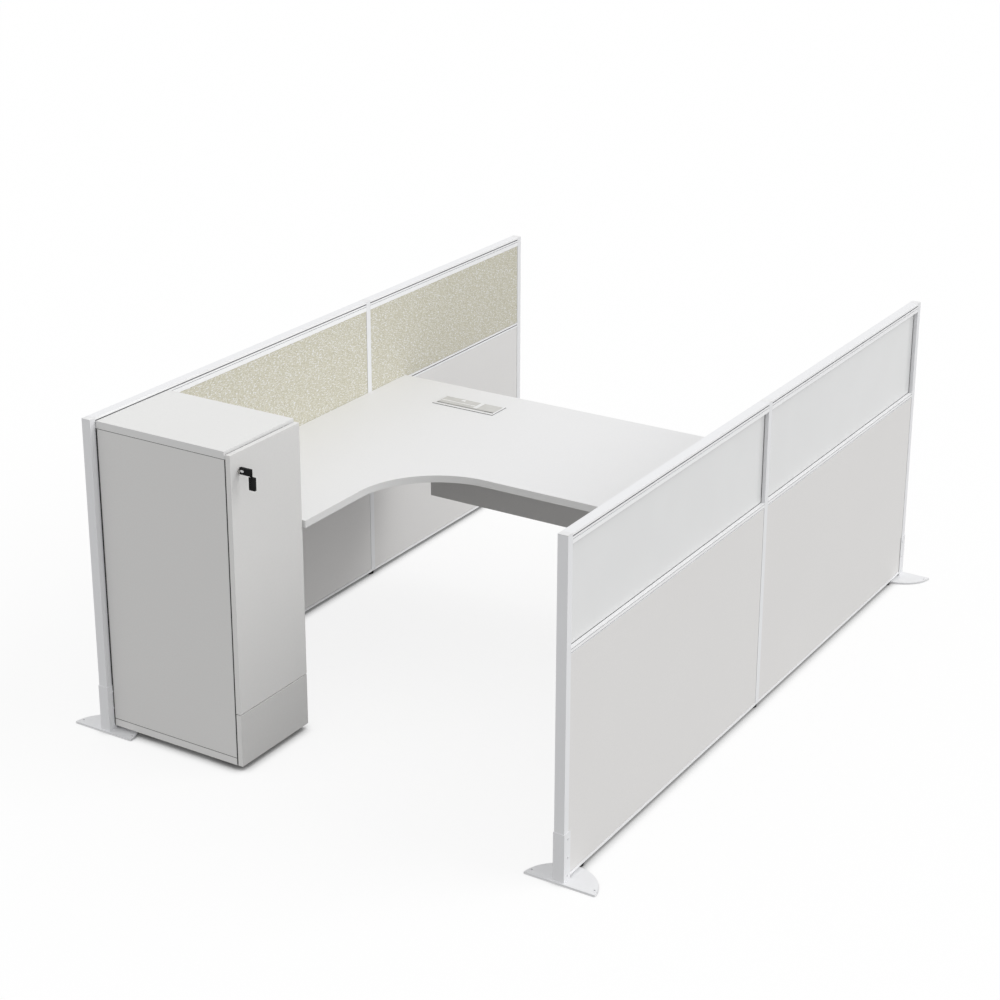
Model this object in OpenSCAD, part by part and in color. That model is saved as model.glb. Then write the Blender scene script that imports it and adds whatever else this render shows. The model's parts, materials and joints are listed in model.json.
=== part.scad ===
// Cubicle workstation: two screen walls, a worktop with a return wing and a tall locker.
// All lengths are millimetres. Sizes are laid out in plan from the near inner corner of the
// left wall, with X across the bay, Y along the walls and Z up. place() moves that plan to
// the part's own origin, the middle of its footprint on the floor.

/* [Bay] */
// Clear width between the inner faces of the two screen walls
clear_w = 1700; // [1500:10:2200]
// Length of each screen wall
wall_l = 2600; // [2400:10:3200]
// Height of the screen walls
wall_h = 1100; // [1060:10:1500]
// Thickness of the screen walls
wall_t = 34; // [32:1:50]

/* [Wall frame] */
// Width of a post, along the wall
post_w = 25; // [24:1:40]
// Middle of the left wall's mid post
left_post_y = 1515; // [1300:5:1515]
// Middle of the right wall's mid post
right_post_y = 1300; // [900:5:1600]
// Visible height of the left wall's top rails
left_top_h = 36; // [30:1:60]
// Visible height of the right wall's top rails
right_top_h = 33; // [30:1:60]
// Underside of the left wall's mid rails
left_rail_z = 717; // [600:1:800]
// Visible height of the left wall's mid rails
left_rail_h = 18; // [16:1:40]
// Underside of the right wall's mid rails
right_rail_z = 731; // [600:1:800]
// Visible height of the right wall's mid rails
right_rail_h = 19; // [16:1:40]
// Visible height of the bottom rails
bottom_rail_h = 9; // [8:1:40]

/* [Tiles and panes] */
// Thickness of a tile or pinboard
tile_t = 9; // [6:0.5:11]
// How far a tile lies behind the face of the posts
tile_recess = 1; // [0.5:0.5:3]
// Thickness of a pane
pane_t = 6; // [4:1:8]

/* [Feet] */
// Radius of a foot plate
foot_r = 120; // [116:1:122]
// How far the middle of a foot plate lies out from the middle of the wall
foot_side = 6; // [0:1:12]
// How far a foot plate's straight edge lies beyond the end of the wall
foot_out = 8; // [4:1:16]
// How far the middle of its arc lies beyond the end of the wall
foot_arc_out = 18; // [17:1:24]
// Thickness of a foot plate
foot_t = 6; // [4:1:10]
// Radius of the floor holes in a foot plate
floor_hole_r = 3.5; // [2.5:0.5:5]
// Distance between the two floor holes of a foot plate
floor_hole_pitch = 211; // [180:1:214]
// Height of the steel sleeve's top edge
sleeve_h = 165; // [160:5:300]
// How far the sleeve reaches along the wall
sleeve_l = 34; // [30:1:60]
// Height of the glides under the walls
glide_h = 13; // [11:1:25]

/* [Worktop] */
// Height of the worktop's upper face
desk_z = 745; // [700:5:760]
// Thickness of the worktop
desk_t = 25; // [22:1:30]
// Depth of the return wing, out from the left wall
wing_w = 545; // [500:1:600]
// Where the main part's front edge lies
desk_front = 982; // [900:1:1050]
// Where the worktop's back edge lies
desk_back = 1750; // [1740:5:1900]
// Radius of the hollow corner between wing and main part
fillet_r = 300; // [150:10:400]

/* [Cable box] */
// Left edge of the cable box's rim
tray_x = 266; // [240:1:400]
// Length of the rim
tray_w = 260; // [260:1:400]
// Depth of the rim, front to back
tray_d = 95; // [94:1:97]
// Height of the box below the worktop's upper face
tray_h = 90; // [80:1:160]
// Length of the long lid
long_lid_w = 150; // [100:1:150]
// Length of the short lid
short_lid_w = 78; // [50:1:78]
// Depth of both lids, hinge side to free side
lid_d = 60; // [54:1:60]
// Thickness of a lid
lid_t = 5; // [4:0.5:6]

/* [Modesty panel] */
// Left end of the modesty panel
modesty_x = 180; // [60:5:300]
// Length of the modesty panel
modesty_l = 1340; // [900:5:1370]
// Height of the modesty panel
modesty_h = 400; // [250:5:600]
// Near face of the modesty panel
modesty_y = 1650; // [1645:1:1652]
// Thickness of the modesty panel
modesty_t = 18; // [12:1:19]

/* [Locker] */
// Depth of the carcass, out from the wall
cab_d = 511.5; // [490:0.5:620]
// Width of the carcass, along the wall
cab_w = 350; // [330:1:450]
// Height of the locker's top
cab_h = 1090; // [1000:5:1400]
// Height of the glides under the locker
locker_glide_h = 19; // [11:1:25]
// Thickness of the top and base boards
top_t = 25; // [22:1:30]
// Thickness of the sides, shelves, door and drawer front
side_t = 18; // [16:1:19]
// Height of the joint between the door and the drawer front
front_split = 201.5; // [190:0.5:300]
// Distance from one shelf to the next
shelf_pitch = 285; // [200:5:300]
// Height of the lock above the floor
lock_z = 1017; // [700:1:1030]
// How far the drawer pulls out
drawer_travel = 400; // [200:10:420]

/* [Hidden] */
$fn = 64;

// Overrun of every cut past the face it leaves
cut = 1;
// Slip of a screw shank or a stem in its hole, on the radius
slip = 0.1;

// Wall frame
post_skin = 2;
tile_gap = 1;
lap = 11;
core_u = tile_recess + tile_t;
core_t = wall_t - 2 * core_u;
slot_d = 6;
gasket_t = 1;
gasket_lip = 1;
slot_t = pane_t + 2 * gasket_t;
slot_u = (wall_t - slot_t) / 2;
groove_h = 4;
groove_d = 7;
groove_drop = 12;
line_h = 1.5;
line_d = 2.5;
line_drop = 20;
mid_groove_rise = 7;
bead_line_h = 2;
bead_line_d = 4;
bead_line_low = 2.5;
bead_line_high = 5.5;
cap_t = 3;
cap_plug_h = 15;
cap_slip = 0.2;
post_core_w = post_w - 2 * (slot_d + post_skin);
post_core_u = wall_t - 2 * post_skin;
rail_void_u = groove_d + post_skin;
left_top_z = wall_h - left_top_h;
right_top_z = wall_h - right_top_h;
bottom_top_z = glide_h + bottom_rail_h;
left_bays = [[post_w, left_post_y - post_w / 2], [left_post_y + post_w / 2, wall_l - post_w]];
right_bays = [[post_w, right_post_y - post_w / 2], [right_post_y + post_w / 2, wall_l - post_w]];

// Feet and glides
sleeve_t = 2;
floor_hole_y = 15;
foot_screw_r = 2;
foot_screw_head_r = 4;
foot_screw_head_h = 2;
foot_screw_grip = 6;
foot_screw_y = 20;
foot_screw_z = 22;
foot_screw_pitch = 61;
foot_screw_count = 3;
glide_r = 14;
glide_stem_r = 4;
glide_stem_h = 10;
glide_inset = 120;

// Worktop, its brackets and its screws
desk_gap = 5;
desk_under = desk_z - desk_t;
bracket_w = 40;
bracket_t = 3;
bracket_arm = 400;
bracket_drop = 160;
bracket_nose = 20;
bracket_screw_in = 80;
bracket_screw_out = 340;
bracket_screw_off = 12;
wing_bracket_inset = 50;
front_bracket_inset = 30;
back_bracket_inset = 30;
screw_r = 2;
screw_head_r = 4;
screw_head_h = 2;
screw_depth = 15;
angle_leg = 30;
angle_l = 60;
angle_inset = 130;
modesty_grip = 9;

// Cable box, which lies before the modesty panel
tray_gap = 17;
tray_y = modesty_y - tray_gap - tray_d;
rim_t = 2;
rim_w = 5;
tray_wall = 2;
tray_slip = 0.5;
lid_edge = 8;
lid_back = 7;
divider_w = 16;
lid_gap = 0.5;
lid_top = desk_z + rim_t;
lid_r = lid_t / 2;
lid_y0 = tray_y + tray_d - lid_back - lid_d;
lid_axis_y = lid_y0 + lid_r;
lid_axis_z = lid_top - lid_r;
rod_r = 1.2;
rod_fit = 0.05;
lug_h = 5;
lug_d = 9;
long_lid_x = tray_x + lid_edge;
short_lid_x = long_lid_x + long_lid_w + divider_w;
lids_l = short_lid_x + short_lid_w - long_lid_x;
slot_y = tray_y + 16;
slot_w = 6;
ledge_w = 6;
ledge_t = 3;
finger_r = 8.5;
finger_x = 81;
finger_y = 41;
finger_flat = 6.5;
outlet_x = 30;
outlet_l = 60;
outlet_y = 15;
outlet_d = 26;
socket_x = 24;
socket_l = 215;
socket_d = 38;
socket_h = 38;
socket_back = 3;
socket_count = 3;
socket_r = 16;
socket_sink = 10;
socket_pin_r = 2.4;
socket_pin_pitch = 19;
socket_pin_sink = 12;

// Locker carcass
sleeve_clear = 0.5;
cab_x = sleeve_t + sleeve_clear;
cab_y = 25;
cab_front = cab_x + cab_d;
cab_far = cab_y + cab_w;
base_top = locker_glide_h + top_t;
top_under = cab_h - top_t;
back_t = 8;
seam_h = 1.5;
seam_d = 2.5;
inner_y0 = cab_y + side_t;
inner_y1 = cab_far - side_t;
back_x = cab_x + back_t;
divider_top = front_split + side_t / 2;
shelf_side_gap = 1;
shelf_front_inset = 14;
shelf_count = 2;
shelf_pin_r = 2.5;
shelf_pin_in = 8;
shelf_pin_out = 8;
shelf_pin_inset = 50;
locker_glide_r = 20;
locker_glide_back = 122;
locker_glide_front = 60;
locker_glide_side = 45;
front_gap = 4;
front_x = cab_front + front_gap;
front_out = front_x + side_t;
front_reveal = 1;
front_joint = 3;
front_y0 = cab_y + front_reveal;
front_y1 = cab_far - front_reveal;
front_w = front_y1 - front_y0;
door_z0 = front_split + front_joint / 2;
door_drop = 10;
door_z1 = cab_h - door_drop;
drawer_z1 = front_split - front_joint / 2;
bumper_r = 5;
bumper_inset = 90;
drawer_bumper_z = 150;

// Pivot hinges of the door: an arm under the top, one on the divider, each with a pin
pivot_in = 7;
pivot_side = 8;
pivot_x = front_out - pivot_in;
pivot_y = front_y1 - pivot_side;
arm_t = 3;
arm_end_r = 4.5;
arm_back = 75;
arm_w = 15;
arm_side_gap = 1;
arm_lead = 8;
arm_clear = 0.5;
arm_leg = 8;
arm_screw_in = 12;
arm_screw_pitch = 40;
arm_screw_grip = 12;
pin_r = 2.5;
pin_h = 10;
pin_fit = 0.05;
bush_r = 4;
bush_l = 11;
thrust_r = 4.4;
pocket_gap = 0.5;
end_gap = 0.4;
top_arm_z = top_under - arm_t;
low_arm_z = divider_top;

// Lock and key
lock_side = 42;
lock_y = front_y0 + lock_side;
ring_r = 8.8;
ring_t = 1.5;
barrel_r = 8;
barrel_fit = 0.05;
barrel_back = 14;
nut_r = 12;
nut_t = 3.5;
plug_r = 5;
plug_fit = 0.05;
plug_sink = 0.3;
boss_r = 3;
boss_l = 4.5;
cam_t = 3.5;
cam_w = 14;
cam_l = 21.5;
cam_gap = 0.5;
keeper_t = 2;
keeper_h = 40;
keeper_d = 24;
keeper_lip = 8;
keeper_clear = 1;
blade_t = 2;
blade_h = 7;
blade_in = 28;
blade_slip = 0.2;
head_start = 5;
head_l = 43;
head_h = 22;
head_t = 9;
head_rise = 4;
collar_l = 3.3;
collar_h = 9;
collar_t = 5;
key_pin_in = 2;
key_pin_drop = 15;
key_pin_r = 1.2;
key_pin_fit = 0.05;
ear_t = 3;
ear_r = 4.1;
ear_back = 8;
cheek_gap = 0.3;
grip_w = 22;
grip_h = 42;
grip_rise = 1;

// Drawer and runners
drawer_x = 40;
drawer_wall = 12;
drawer_z0 = 60;
drawer_h = 110;
runner_gap = 12.5;
drawer_y0 = inner_y0 + runner_gap;
drawer_y1 = inner_y1 - runner_gap;
bottom_t = 5;
bottom_rise = 6;
bottom_in = 6;
runner_stay = 50;
runner_l = drawer_travel + runner_stay;
runner_x = 40;
runner_z = 100;
runner_h = 45;
runner_t = 1.2;
runner_play = 0.4;
runner_depth = 10;

white_paint = [0.93, 0.93, 0.94];
white_board = [0.91, 0.91, 0.90];
grey_tile = [0.90, 0.90, 0.89];
pin_cloth = [0.86, 0.85, 0.77];
opal_pane = [0.88, 0.89, 0.89];
panel_board = [0.83, 0.82, 0.81];
bare_steel = [0.72, 0.73, 0.74];
bright_metal = [0.80, 0.80, 0.81];
black_plastic = [0.10, 0.10, 0.10];
grey_plastic = [0.60, 0.60, 0.60];
lid_metal = [0.77, 0.76, 0.74];

module place() {
    translate([-clear_w / 2, -wall_l / 2, 0]) children();
}

module slab(low, size) {
    translate(low) cube(size);
}

// A cylinder that starts at a point and runs along +X
module bar_x(start, r, length) {
    translate(start) rotate([0, 90, 0]) cylinder(r = r, h = length);
}

// A cylinder that starts at a point and runs along +Y
module bar_y(start, r, length) {
    translate(start) rotate([-90, 0, 0]) cylinder(r = r, h = length);
}

// A disc or pin that starts at a point and runs along +Z
module bar_z(start, r, length) {
    translate(start) cylinder(r = r, h = length);
}

// Extrudes a section drawn in X and Z along Y
module along_y(y0, y1) {
    translate([0, y1, 0]) rotate([90, 0, 0]) linear_extrude(y1 - y0) children();
}

// Extrudes a section drawn in Y and Z along X
module along_x(x0, length) {
    translate([x0, 0, 0]) rotate([90, 0, 90]) linear_extrude(length) children();
}

// The walls are drawn with X as the depth from the inner face to the outer face
module left_wall() {
    place() mirror([1, 0, 0]) children();
}

module right_wall() {
    place() translate([clear_w, 0, 0]) children();
}

// Turns a shape made for the near end of a wall to its far end
module far_end() {
    translate([0, wall_l, 0]) mirror([0, 1, 0]) children();
}

module both_ends() {
    children();
    far_end() children();
}

// Section shapes of the wall frame
module groove_pair(z, h, d) {
    translate([-cut, z]) square([cut + d, h]);
    translate([wall_t - d, z]) square([cut + d, h]);
}

module tongue_2d(z) {
    translate([core_u, z]) square([core_t, lap]);
}

module top_rail_2d(z, h, has_pane) {
    difference() {
        union() {
            translate([0, z]) square([wall_t, h]);
            if (!has_pane) tongue_2d(z - lap);
        }
        groove_pair(wall_h - groove_drop, groove_h, groove_d);
        groove_pair(wall_h - line_drop, line_h, line_d);
        if (has_pane) translate([slot_u, z - cut]) square([slot_t, cut + slot_d]);
        translate([rail_void_u, z + slot_d + post_skin])
            square([wall_t - 2 * rail_void_u, h - slot_d - 2 * post_skin]);
    }
}

module mid_rail_2d(z, h, has_pane) {
    difference() {
        union() {
            translate([0, z]) square([wall_t, h]);
            tongue_2d(z - lap);
            if (!has_pane) tongue_2d(z + h);
        }
        if (has_pane) for (rise = [bead_line_low, h - bead_line_high])
            groove_pair(z + rise, bead_line_h, bead_line_d);
        else groove_pair(z + mid_groove_rise, groove_h, groove_d);
        if (has_pane) translate([slot_u, z + h - slot_d]) square([slot_t, slot_d + cut]);
        translate([rail_void_u, z + post_skin])
            square([wall_t - 2 * rail_void_u, h - slot_d - 2 * post_skin]);
    }
}

// Posts
module post(y0, z0) {
    difference() {
        slab([0, y0, z0], [wall_t, post_w, wall_h - cap_t - z0]);
        slab([post_skin, y0 + slot_d + post_skin, z0 - cut],
            [post_core_u, post_core_w, wall_h - z0 + 2 * cut]);
    }
}

// The groove that a pane's edge lies in, from a post's face at y0 towards y0 + slot_d
module pane_groove(y0) {
    slab([slot_u, y0, right_rail_z + right_rail_h - slot_d],
        [slot_t, slot_d + cut, right_top_z - right_rail_z - right_rail_h + 2 * slot_d]);
}

// Carries its child to each sleeve screw of one wall end, with +Z pointing out of the wall
module foot_screw_places() {
    for (i = [0 : foot_screw_count - 1]) {
        z = foot_screw_z + i * foot_screw_pitch;
        translate([0, foot_screw_y, z]) rotate([0, -90, 0]) children();
        translate([wall_t, foot_screw_y, z]) rotate([0, 90, 0]) children();
    }
}

module end_post() {
    difference() {
        post(0, foot_t);
        foot_screw_places()
            bar_z([0, 0, -foot_screw_grip - slip], foot_screw_r + slip, foot_screw_grip + slip + cut);
    }
}

module left_posts() {
    color(white_paint) left_wall() {
        both_ends() end_post();
        post(left_post_y - post_w / 2, glide_h);
    }
}

module right_posts() {
    color(white_paint) right_wall() {
        both_ends() difference() {
            end_post();
            pane_groove(post_w - slot_d);
        }
        difference() {
            post(right_post_y - post_w / 2, glide_h);
            pane_groove(right_post_y - post_w / 2 - cut);
            pane_groove(right_post_y + post_w / 2 - slot_d);
        }
    }
}

module post_cap(y0) {
    slab([0, y0, wall_h - cap_t], [wall_t, post_w, cap_t]);
    slab([post_skin + cap_slip, y0 + slot_d + post_skin + cap_slip, wall_h - cap_t - cap_plug_h],
        [post_core_u - 2 * cap_slip, post_core_w - 2 * cap_slip, cap_plug_h]);
}

module post_caps() {
    color(white_paint) {
        left_wall() {
            both_ends() post_cap(0);
            post_cap(left_post_y - post_w / 2);
        }
        right_wall() {
            both_ends() post_cap(0);
            post_cap(right_post_y - post_w / 2);
        }
    }
}

// Rails
module left_top_rails() {
    color(white_paint) left_wall()
        for (bay = left_bays) along_y(bay[0], bay[1]) top_rail_2d(left_top_z, left_top_h, false);
}

module right_top_rails() {
    color(white_paint) right_wall()
        for (bay = right_bays) along_y(bay[0], bay[1]) top_rail_2d(right_top_z, right_top_h, true);
}

module left_mid_rails() {
    color(white_paint) left_wall()
        for (bay = left_bays) along_y(bay[0], bay[1]) mid_rail_2d(left_rail_z, left_rail_h, false);
}

module right_mid_rails() {
    color(white_paint) right_wall()
        for (bay = right_bays) along_y(bay[0], bay[1]) mid_rail_2d(right_rail_z, right_rail_h, true);
}

// Carries its child to the two glides that stand under the rails of one wall
module rail_glide_places() {
    for (y = [glide_inset, wall_l - glide_inset]) translate([wall_t / 2, y, 0]) children();
}

module bottom_rail_set(bays) {
    difference() {
        for (bay = bays) along_y(bay[0], bay[1]) {
            translate([0, glide_h]) square([wall_t, bottom_rail_h]);
            tongue_2d(bottom_top_z);
        }
        rail_glide_places() bar_z([0, 0, glide_h - cut], glide_stem_r + slip, glide_stem_h + slip + cut);
    }
}

module bottom_rails() {
    color(white_paint) {
        left_wall() bottom_rail_set(left_bays);
        right_wall() bottom_rail_set(right_bays);
    }
}

// Tiles and pinboards. u is the depth of the tile's nearer face from the wall's inner face.
module tile(bay, z0, z1, u) {
    slab([u, bay[0] + tile_gap, z0 + tile_gap],
        [tile_t, bay[1] - bay[0] - 2 * tile_gap, z1 - z0 - 2 * tile_gap]);
}

inner_u = tile_recess;
outer_u = wall_t - tile_recess - tile_t;
left_rail_top = left_rail_z + left_rail_h;

module pinboard_near() {
    color(pin_cloth) left_wall() tile(left_bays[0], left_rail_top, left_top_z, inner_u);
}

module pinboard_far() {
    color(pin_cloth) left_wall() tile(left_bays[1], left_rail_top, left_top_z, inner_u);
}

module left_tile_near() {
    color(grey_tile) left_wall() tile(left_bays[0], bottom_top_z, left_rail_z, inner_u);
}

module left_tile_far() {
    color(grey_tile) left_wall() tile(left_bays[1], bottom_top_z, left_rail_z, inner_u);
}

module left_back_boards() {
    color(pin_cloth) left_wall()
        for (bay = left_bays) tile(bay, left_rail_top, left_top_z, outer_u);
}

module left_back_tiles() {
    color(grey_tile) left_wall()
        for (bay = left_bays) tile(bay, bottom_top_z, left_rail_z, outer_u);
}

module right_tile_near() {
    color(grey_tile) right_wall() tile(right_bays[0], bottom_top_z, right_rail_z, outer_u);
}

module right_tile_far() {
    color(grey_tile) right_wall() tile(right_bays[1], bottom_top_z, right_rail_z, outer_u);
}

module right_inner_tiles() {
    color(grey_tile) right_wall()
        for (bay = right_bays) tile(bay, bottom_top_z, right_rail_z, inner_u);
}

// Panes of the right wall, each held in a gasket in the grooves of its frame
right_rail_top = right_rail_z + right_rail_h;
pane_bite = slot_d - gasket_t;

module pane(bay) {
    slab([slot_u + gasket_t, bay[0] - pane_bite, right_rail_top - pane_bite],
        [pane_t, bay[1] - bay[0] + 2 * pane_bite, right_top_z - right_rail_top + 2 * pane_bite]);
}

module pane_near() {
    color(opal_pane) right_wall() pane(right_bays[0]);
}

module pane_far() {
    color(opal_pane) right_wall() pane(right_bays[1]);
}

module pane_gaskets() {
    color(grey_plastic) right_wall() for (bay = right_bays) difference() {
        slab([slot_u, bay[0] - slot_d, right_rail_top - slot_d],
            [slot_t, bay[1] - bay[0] + 2 * slot_d, right_top_z - right_rail_top + 2 * slot_d]);
        slab([slot_u - cut, bay[0] + gasket_lip, right_rail_top + gasket_lip],
            [slot_t + 2 * cut, bay[1] - bay[0] - 2 * gasket_lip,
                right_top_z - right_rail_top - 2 * gasket_lip]);
        pane(bay);
    }
}

// Feet: discs cut off by a straight edge
foot_u = wall_t / 2 + foot_side;

module foot() {
    difference() {
        union() {
            difference() {
                bar_z([foot_u, -foot_arc_out, 0], foot_r, foot_t);
                slab([foot_u - foot_r - cut, -foot_r - foot_arc_out - cut, -cut],
                    [2 * (foot_r + cut), foot_r + foot_arc_out + cut - foot_out, foot_t + 2 * cut]);
            }
            difference() {
                slab([-sleeve_t, -sleeve_t, 0], [wall_t + 2 * sleeve_t, sleeve_t + sleeve_l, sleeve_h]);
                slab([0, 0, foot_t], [wall_t, sleeve_l + cut, sleeve_h]);
            }
        }
        for (side = [-1, 1])
            bar_z([foot_u + side * floor_hole_pitch / 2, floor_hole_y, -cut],
                floor_hole_r, foot_t + 2 * cut);
        foot_screw_places() bar_z([0, 0, -cut], foot_screw_r + slip, sleeve_t + 2 * cut);
    }
}

module left_feet() {
    color(white_paint) left_wall() both_ends() foot();
}

module right_feet() {
    color(white_paint) right_wall() both_ends() foot();
}

module foot_screw() {
    bar_z([0, 0, -foot_screw_grip], foot_screw_r, foot_screw_grip + sleeve_t);
    bar_z([0, 0, sleeve_t], foot_screw_head_r, foot_screw_head_h);
}

module foot_screws() {
    color(bright_metal) {
        left_wall() both_ends() foot_screw_places() foot_screw();
        right_wall() both_ends() foot_screw_places() foot_screw();
    }
}

module glide(r, h) {
    bar_z([0, 0, 0], r, h);
    bar_z([0, 0, 0], glide_stem_r, h + glide_stem_h);
}

module wall_glides() {
    color(black_plastic) {
        left_wall() {
            rail_glide_places() glide(glide_r, glide_h);
            translate([wall_t / 2, left_post_y, 0]) glide(glide_r, glide_h);
        }
        right_wall() {
            rail_glide_places() glide(glide_r, glide_h);
            translate([wall_t / 2, right_post_y, 0]) glide(glide_r, glide_h);
        }
    }
}

// Worktop
module worktop_2d() {
    difference() {
        union() {
            translate([0, cab_far + desk_gap]) square([wing_w, desk_back - cab_far - desk_gap]);
            translate([0, desk_front]) square([clear_w, desk_back - desk_front]);
            translate([wing_w, desk_front - fillet_r]) square([fillet_r, fillet_r]);
        }
        translate([wing_w + fillet_r, desk_front - fillet_r]) circle(fillet_r, $fn = 128);
        translate([tray_x + rim_w - tray_slip, tray_y + rim_w - tray_slip])
            square([tray_w - 2 * (rim_w - tray_slip), tray_d - 2 * (rim_w - tray_slip)]);
    }
}

module worktop() {
    color(white_board) place() difference() {
        translate([0, 0, desk_under]) linear_extrude(desk_t) worktop_2d();
        desk_screw_places() bar_z([0, 0, -cut], screw_r + slip, screw_depth + slip + cut);
    }
}

// Places of the brackets: the middle along the wall and how far the wall's face lies back
left_brackets = [
    [cab_far + desk_gap + wing_bracket_inset, tile_recess],
    [left_post_y, 0],
    [desk_back - back_bracket_inset, tile_recess]
];
right_brackets = [
    [desk_front + front_bracket_inset, tile_recess],
    [right_post_y, 0],
    [desk_back - back_bracket_inset, tile_recess]
];

// One bracket, drawn out from a wall's inner face along +X. Where the face of a tile lies
// back from the posts, a pad reaches it, and stops short of the mid rail.
module bracket(back, rail_z, rail_h) {
    low = desk_under - bracket_drop;
    difference() {
        union() {
            slab([0, -bracket_w / 2, low], [bracket_t, bracket_w, bracket_drop]);
            if (back > 0) difference() {
                slab([-back, -bracket_w / 2, low], [back, bracket_w, bracket_drop]);
                slab([-back - cut, -bracket_w / 2 - cut, rail_z - tile_gap],
                    [back + cut, bracket_w + 2 * cut, rail_h + 2 * tile_gap]);
            }
            slab([0, -bracket_w / 2, desk_under - bracket_t], [bracket_arm, bracket_w, bracket_t]);
            along_y(-bracket_t / 2, bracket_t / 2) polygon([
                [0, desk_under - bracket_t], [bracket_arm - bracket_nose, desk_under - bracket_t],
                [bracket_arm - bracket_nose, desk_under - 2 * bracket_t],
                [bracket_t, low + bracket_nose], [0, low + bracket_nose]
            ]);
        }
        bracket_screw_places() bar_z([0, 0, -bracket_t - cut], screw_r + slip, bracket_t + 2 * cut);
    }
}

module bracket_screw_places() {
    translate([bracket_screw_in, bracket_screw_off, desk_under]) children();
    translate([bracket_screw_out, -bracket_screw_off, desk_under]) children();
}

module worktop_brackets() {
    color(white_paint) place() {
        for (b = left_brackets)
            translate([0, b[0], 0]) bracket(b[1], left_rail_z, left_rail_h);
        for (b = right_brackets)
            translate([clear_w, b[0], 0]) mirror([1, 0, 0]) bracket(b[1], right_rail_z, right_rail_h);
    }
}

// Modesty panel, hung from the worktop by three steel angles behind it
angle_x = [modesty_x + angle_inset, modesty_x + modesty_l / 2, modesty_x + modesty_l - angle_inset];
modesty_back = modesty_y + modesty_t;

// Carries its child to each screw that goes up into the worktop, at the worktop's underside
module desk_screw_places() {
    for (b = left_brackets) translate([0, b[0], 0]) bracket_screw_places() children();
    for (b = right_brackets)
        translate([clear_w, b[0], 0]) mirror([1, 0, 0]) bracket_screw_places() children();
    for (x = angle_x) translate([x, modesty_back + angle_leg / 2, desk_under]) children();
}

// Carries its child to each screw that goes into the back of the modesty panel
module modesty_screw_places() {
    for (x = angle_x)
        translate([x, modesty_back, desk_under - angle_leg / 2]) rotate([90, 0, 0]) children();
}

module modesty_panel() {
    color(panel_board) place() difference() {
        slab([modesty_x, modesty_y, desk_under - modesty_h], [modesty_l, modesty_t, modesty_h]);
        modesty_screw_places() bar_z([0, 0, -cut], screw_r + slip, modesty_grip + slip + cut);
    }
}

module modesty_angles() {
    color(bare_steel) place() difference() {
        for (x = angle_x) {
            slab([x - angle_l / 2, modesty_back, desk_under - bracket_t], [angle_l, angle_leg, bracket_t]);
            slab([x - angle_l / 2, modesty_back, desk_under - angle_leg], [angle_l, bracket_t, angle_leg]);
        }
        desk_screw_places() bar_z([0, 0, -bracket_t - cut], screw_r + slip, bracket_t + 2 * cut);
        modesty_screw_places() bar_z([0, 0, -bracket_t - cut], screw_r + slip, bracket_t + 2 * cut);
    }
}

// A screw whose head lies under a plate, with the plate's other face at z = 0
module plate_screw(plate, depth) {
    bar_z([0, 0, -plate], screw_r, plate + depth);
    bar_z([0, 0, -plate - screw_head_h], screw_head_r, screw_head_h);
}

module fixing_screws() {
    color(bare_steel) place() {
        desk_screw_places() plate_screw(bracket_t, screw_depth);
        modesty_screw_places() plate_screw(bracket_t, modesty_grip);
        top_arm_screw_places() plate_screw(arm_t, screw_depth);
        low_arm_screw_places() mirror([0, 0, 1]) plate_screw(arm_t, arm_screw_grip);
    }
}

// Cable box let into the worktop, with two lids on one rod
tray_bottom = desk_z - tray_h;
lug_z = desk_z - lug_h;

module finger_hole_2d() {
    translate([-finger_r, 0]) square([2 * finger_r, finger_flat]);
    translate([0, finger_flat]) circle(finger_r);
}

module cable_box() {
    color(white_paint) place() difference() {
        union() {
            difference() {
                union() {
                    slab([tray_x, tray_y, desk_z], [tray_w, tray_d, rim_t]);
                    slab([tray_x + rim_w, tray_y + rim_w, tray_bottom],
                        [tray_w - 2 * rim_w, tray_d - 2 * rim_w, tray_h]);
                }
                slab([tray_x + rim_w + tray_wall, tray_y + rim_w + tray_wall, tray_bottom + tray_wall],
                    [tray_w - 2 * (rim_w + tray_wall), tray_d - 2 * (rim_w + tray_wall),
                        tray_h - tray_wall]);
            }
            for (lug = [[tray_x + rim_w, lid_edge - rim_w], [long_lid_x + long_lid_w, divider_w],
                    [long_lid_x + lids_l, tray_w - lid_edge - lids_l - rim_w]])
                slab([lug[0], lid_y0 - lid_gap, lug_z], [lug[1], lug_d, lug_h]);
            slab([tray_x + rim_w, lid_y0 + lid_d - ledge_w, lid_top - lid_t - ledge_t],
                [tray_w - 2 * rim_w, ledge_w + lid_back - rim_w, ledge_t]);
        }
        slab([long_lid_x, lid_y0 - lid_gap, lug_z - cut],
            [long_lid_w, lug_d, lug_h + rim_t + 2 * cut]);
        slab([short_lid_x, lid_y0 - lid_gap, lug_z - cut],
            [short_lid_w, lug_d, lug_h + rim_t + 2 * cut]);
        slab([long_lid_x, lid_y0 - lid_gap, lid_top - lid_t],
            [long_lid_w, lid_d + 2 * lid_gap, lid_t + cut]);
        slab([short_lid_x, lid_y0 - lid_gap, lid_top - lid_t],
            [short_lid_w, lid_d + 2 * lid_gap, lid_t + cut]);
        slab([long_lid_x, slot_y, desk_z - cut], [lids_l, slot_w, rim_t + 2 * cut]);
        slab([tray_x + outlet_x, tray_y + outlet_y, tray_bottom - cut],
            [outlet_l, outlet_d, tray_wall + 2 * cut]);
        bar_x([tray_x, lid_axis_y, lid_axis_z], rod_r + rod_fit, tray_w);
    }
}

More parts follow.
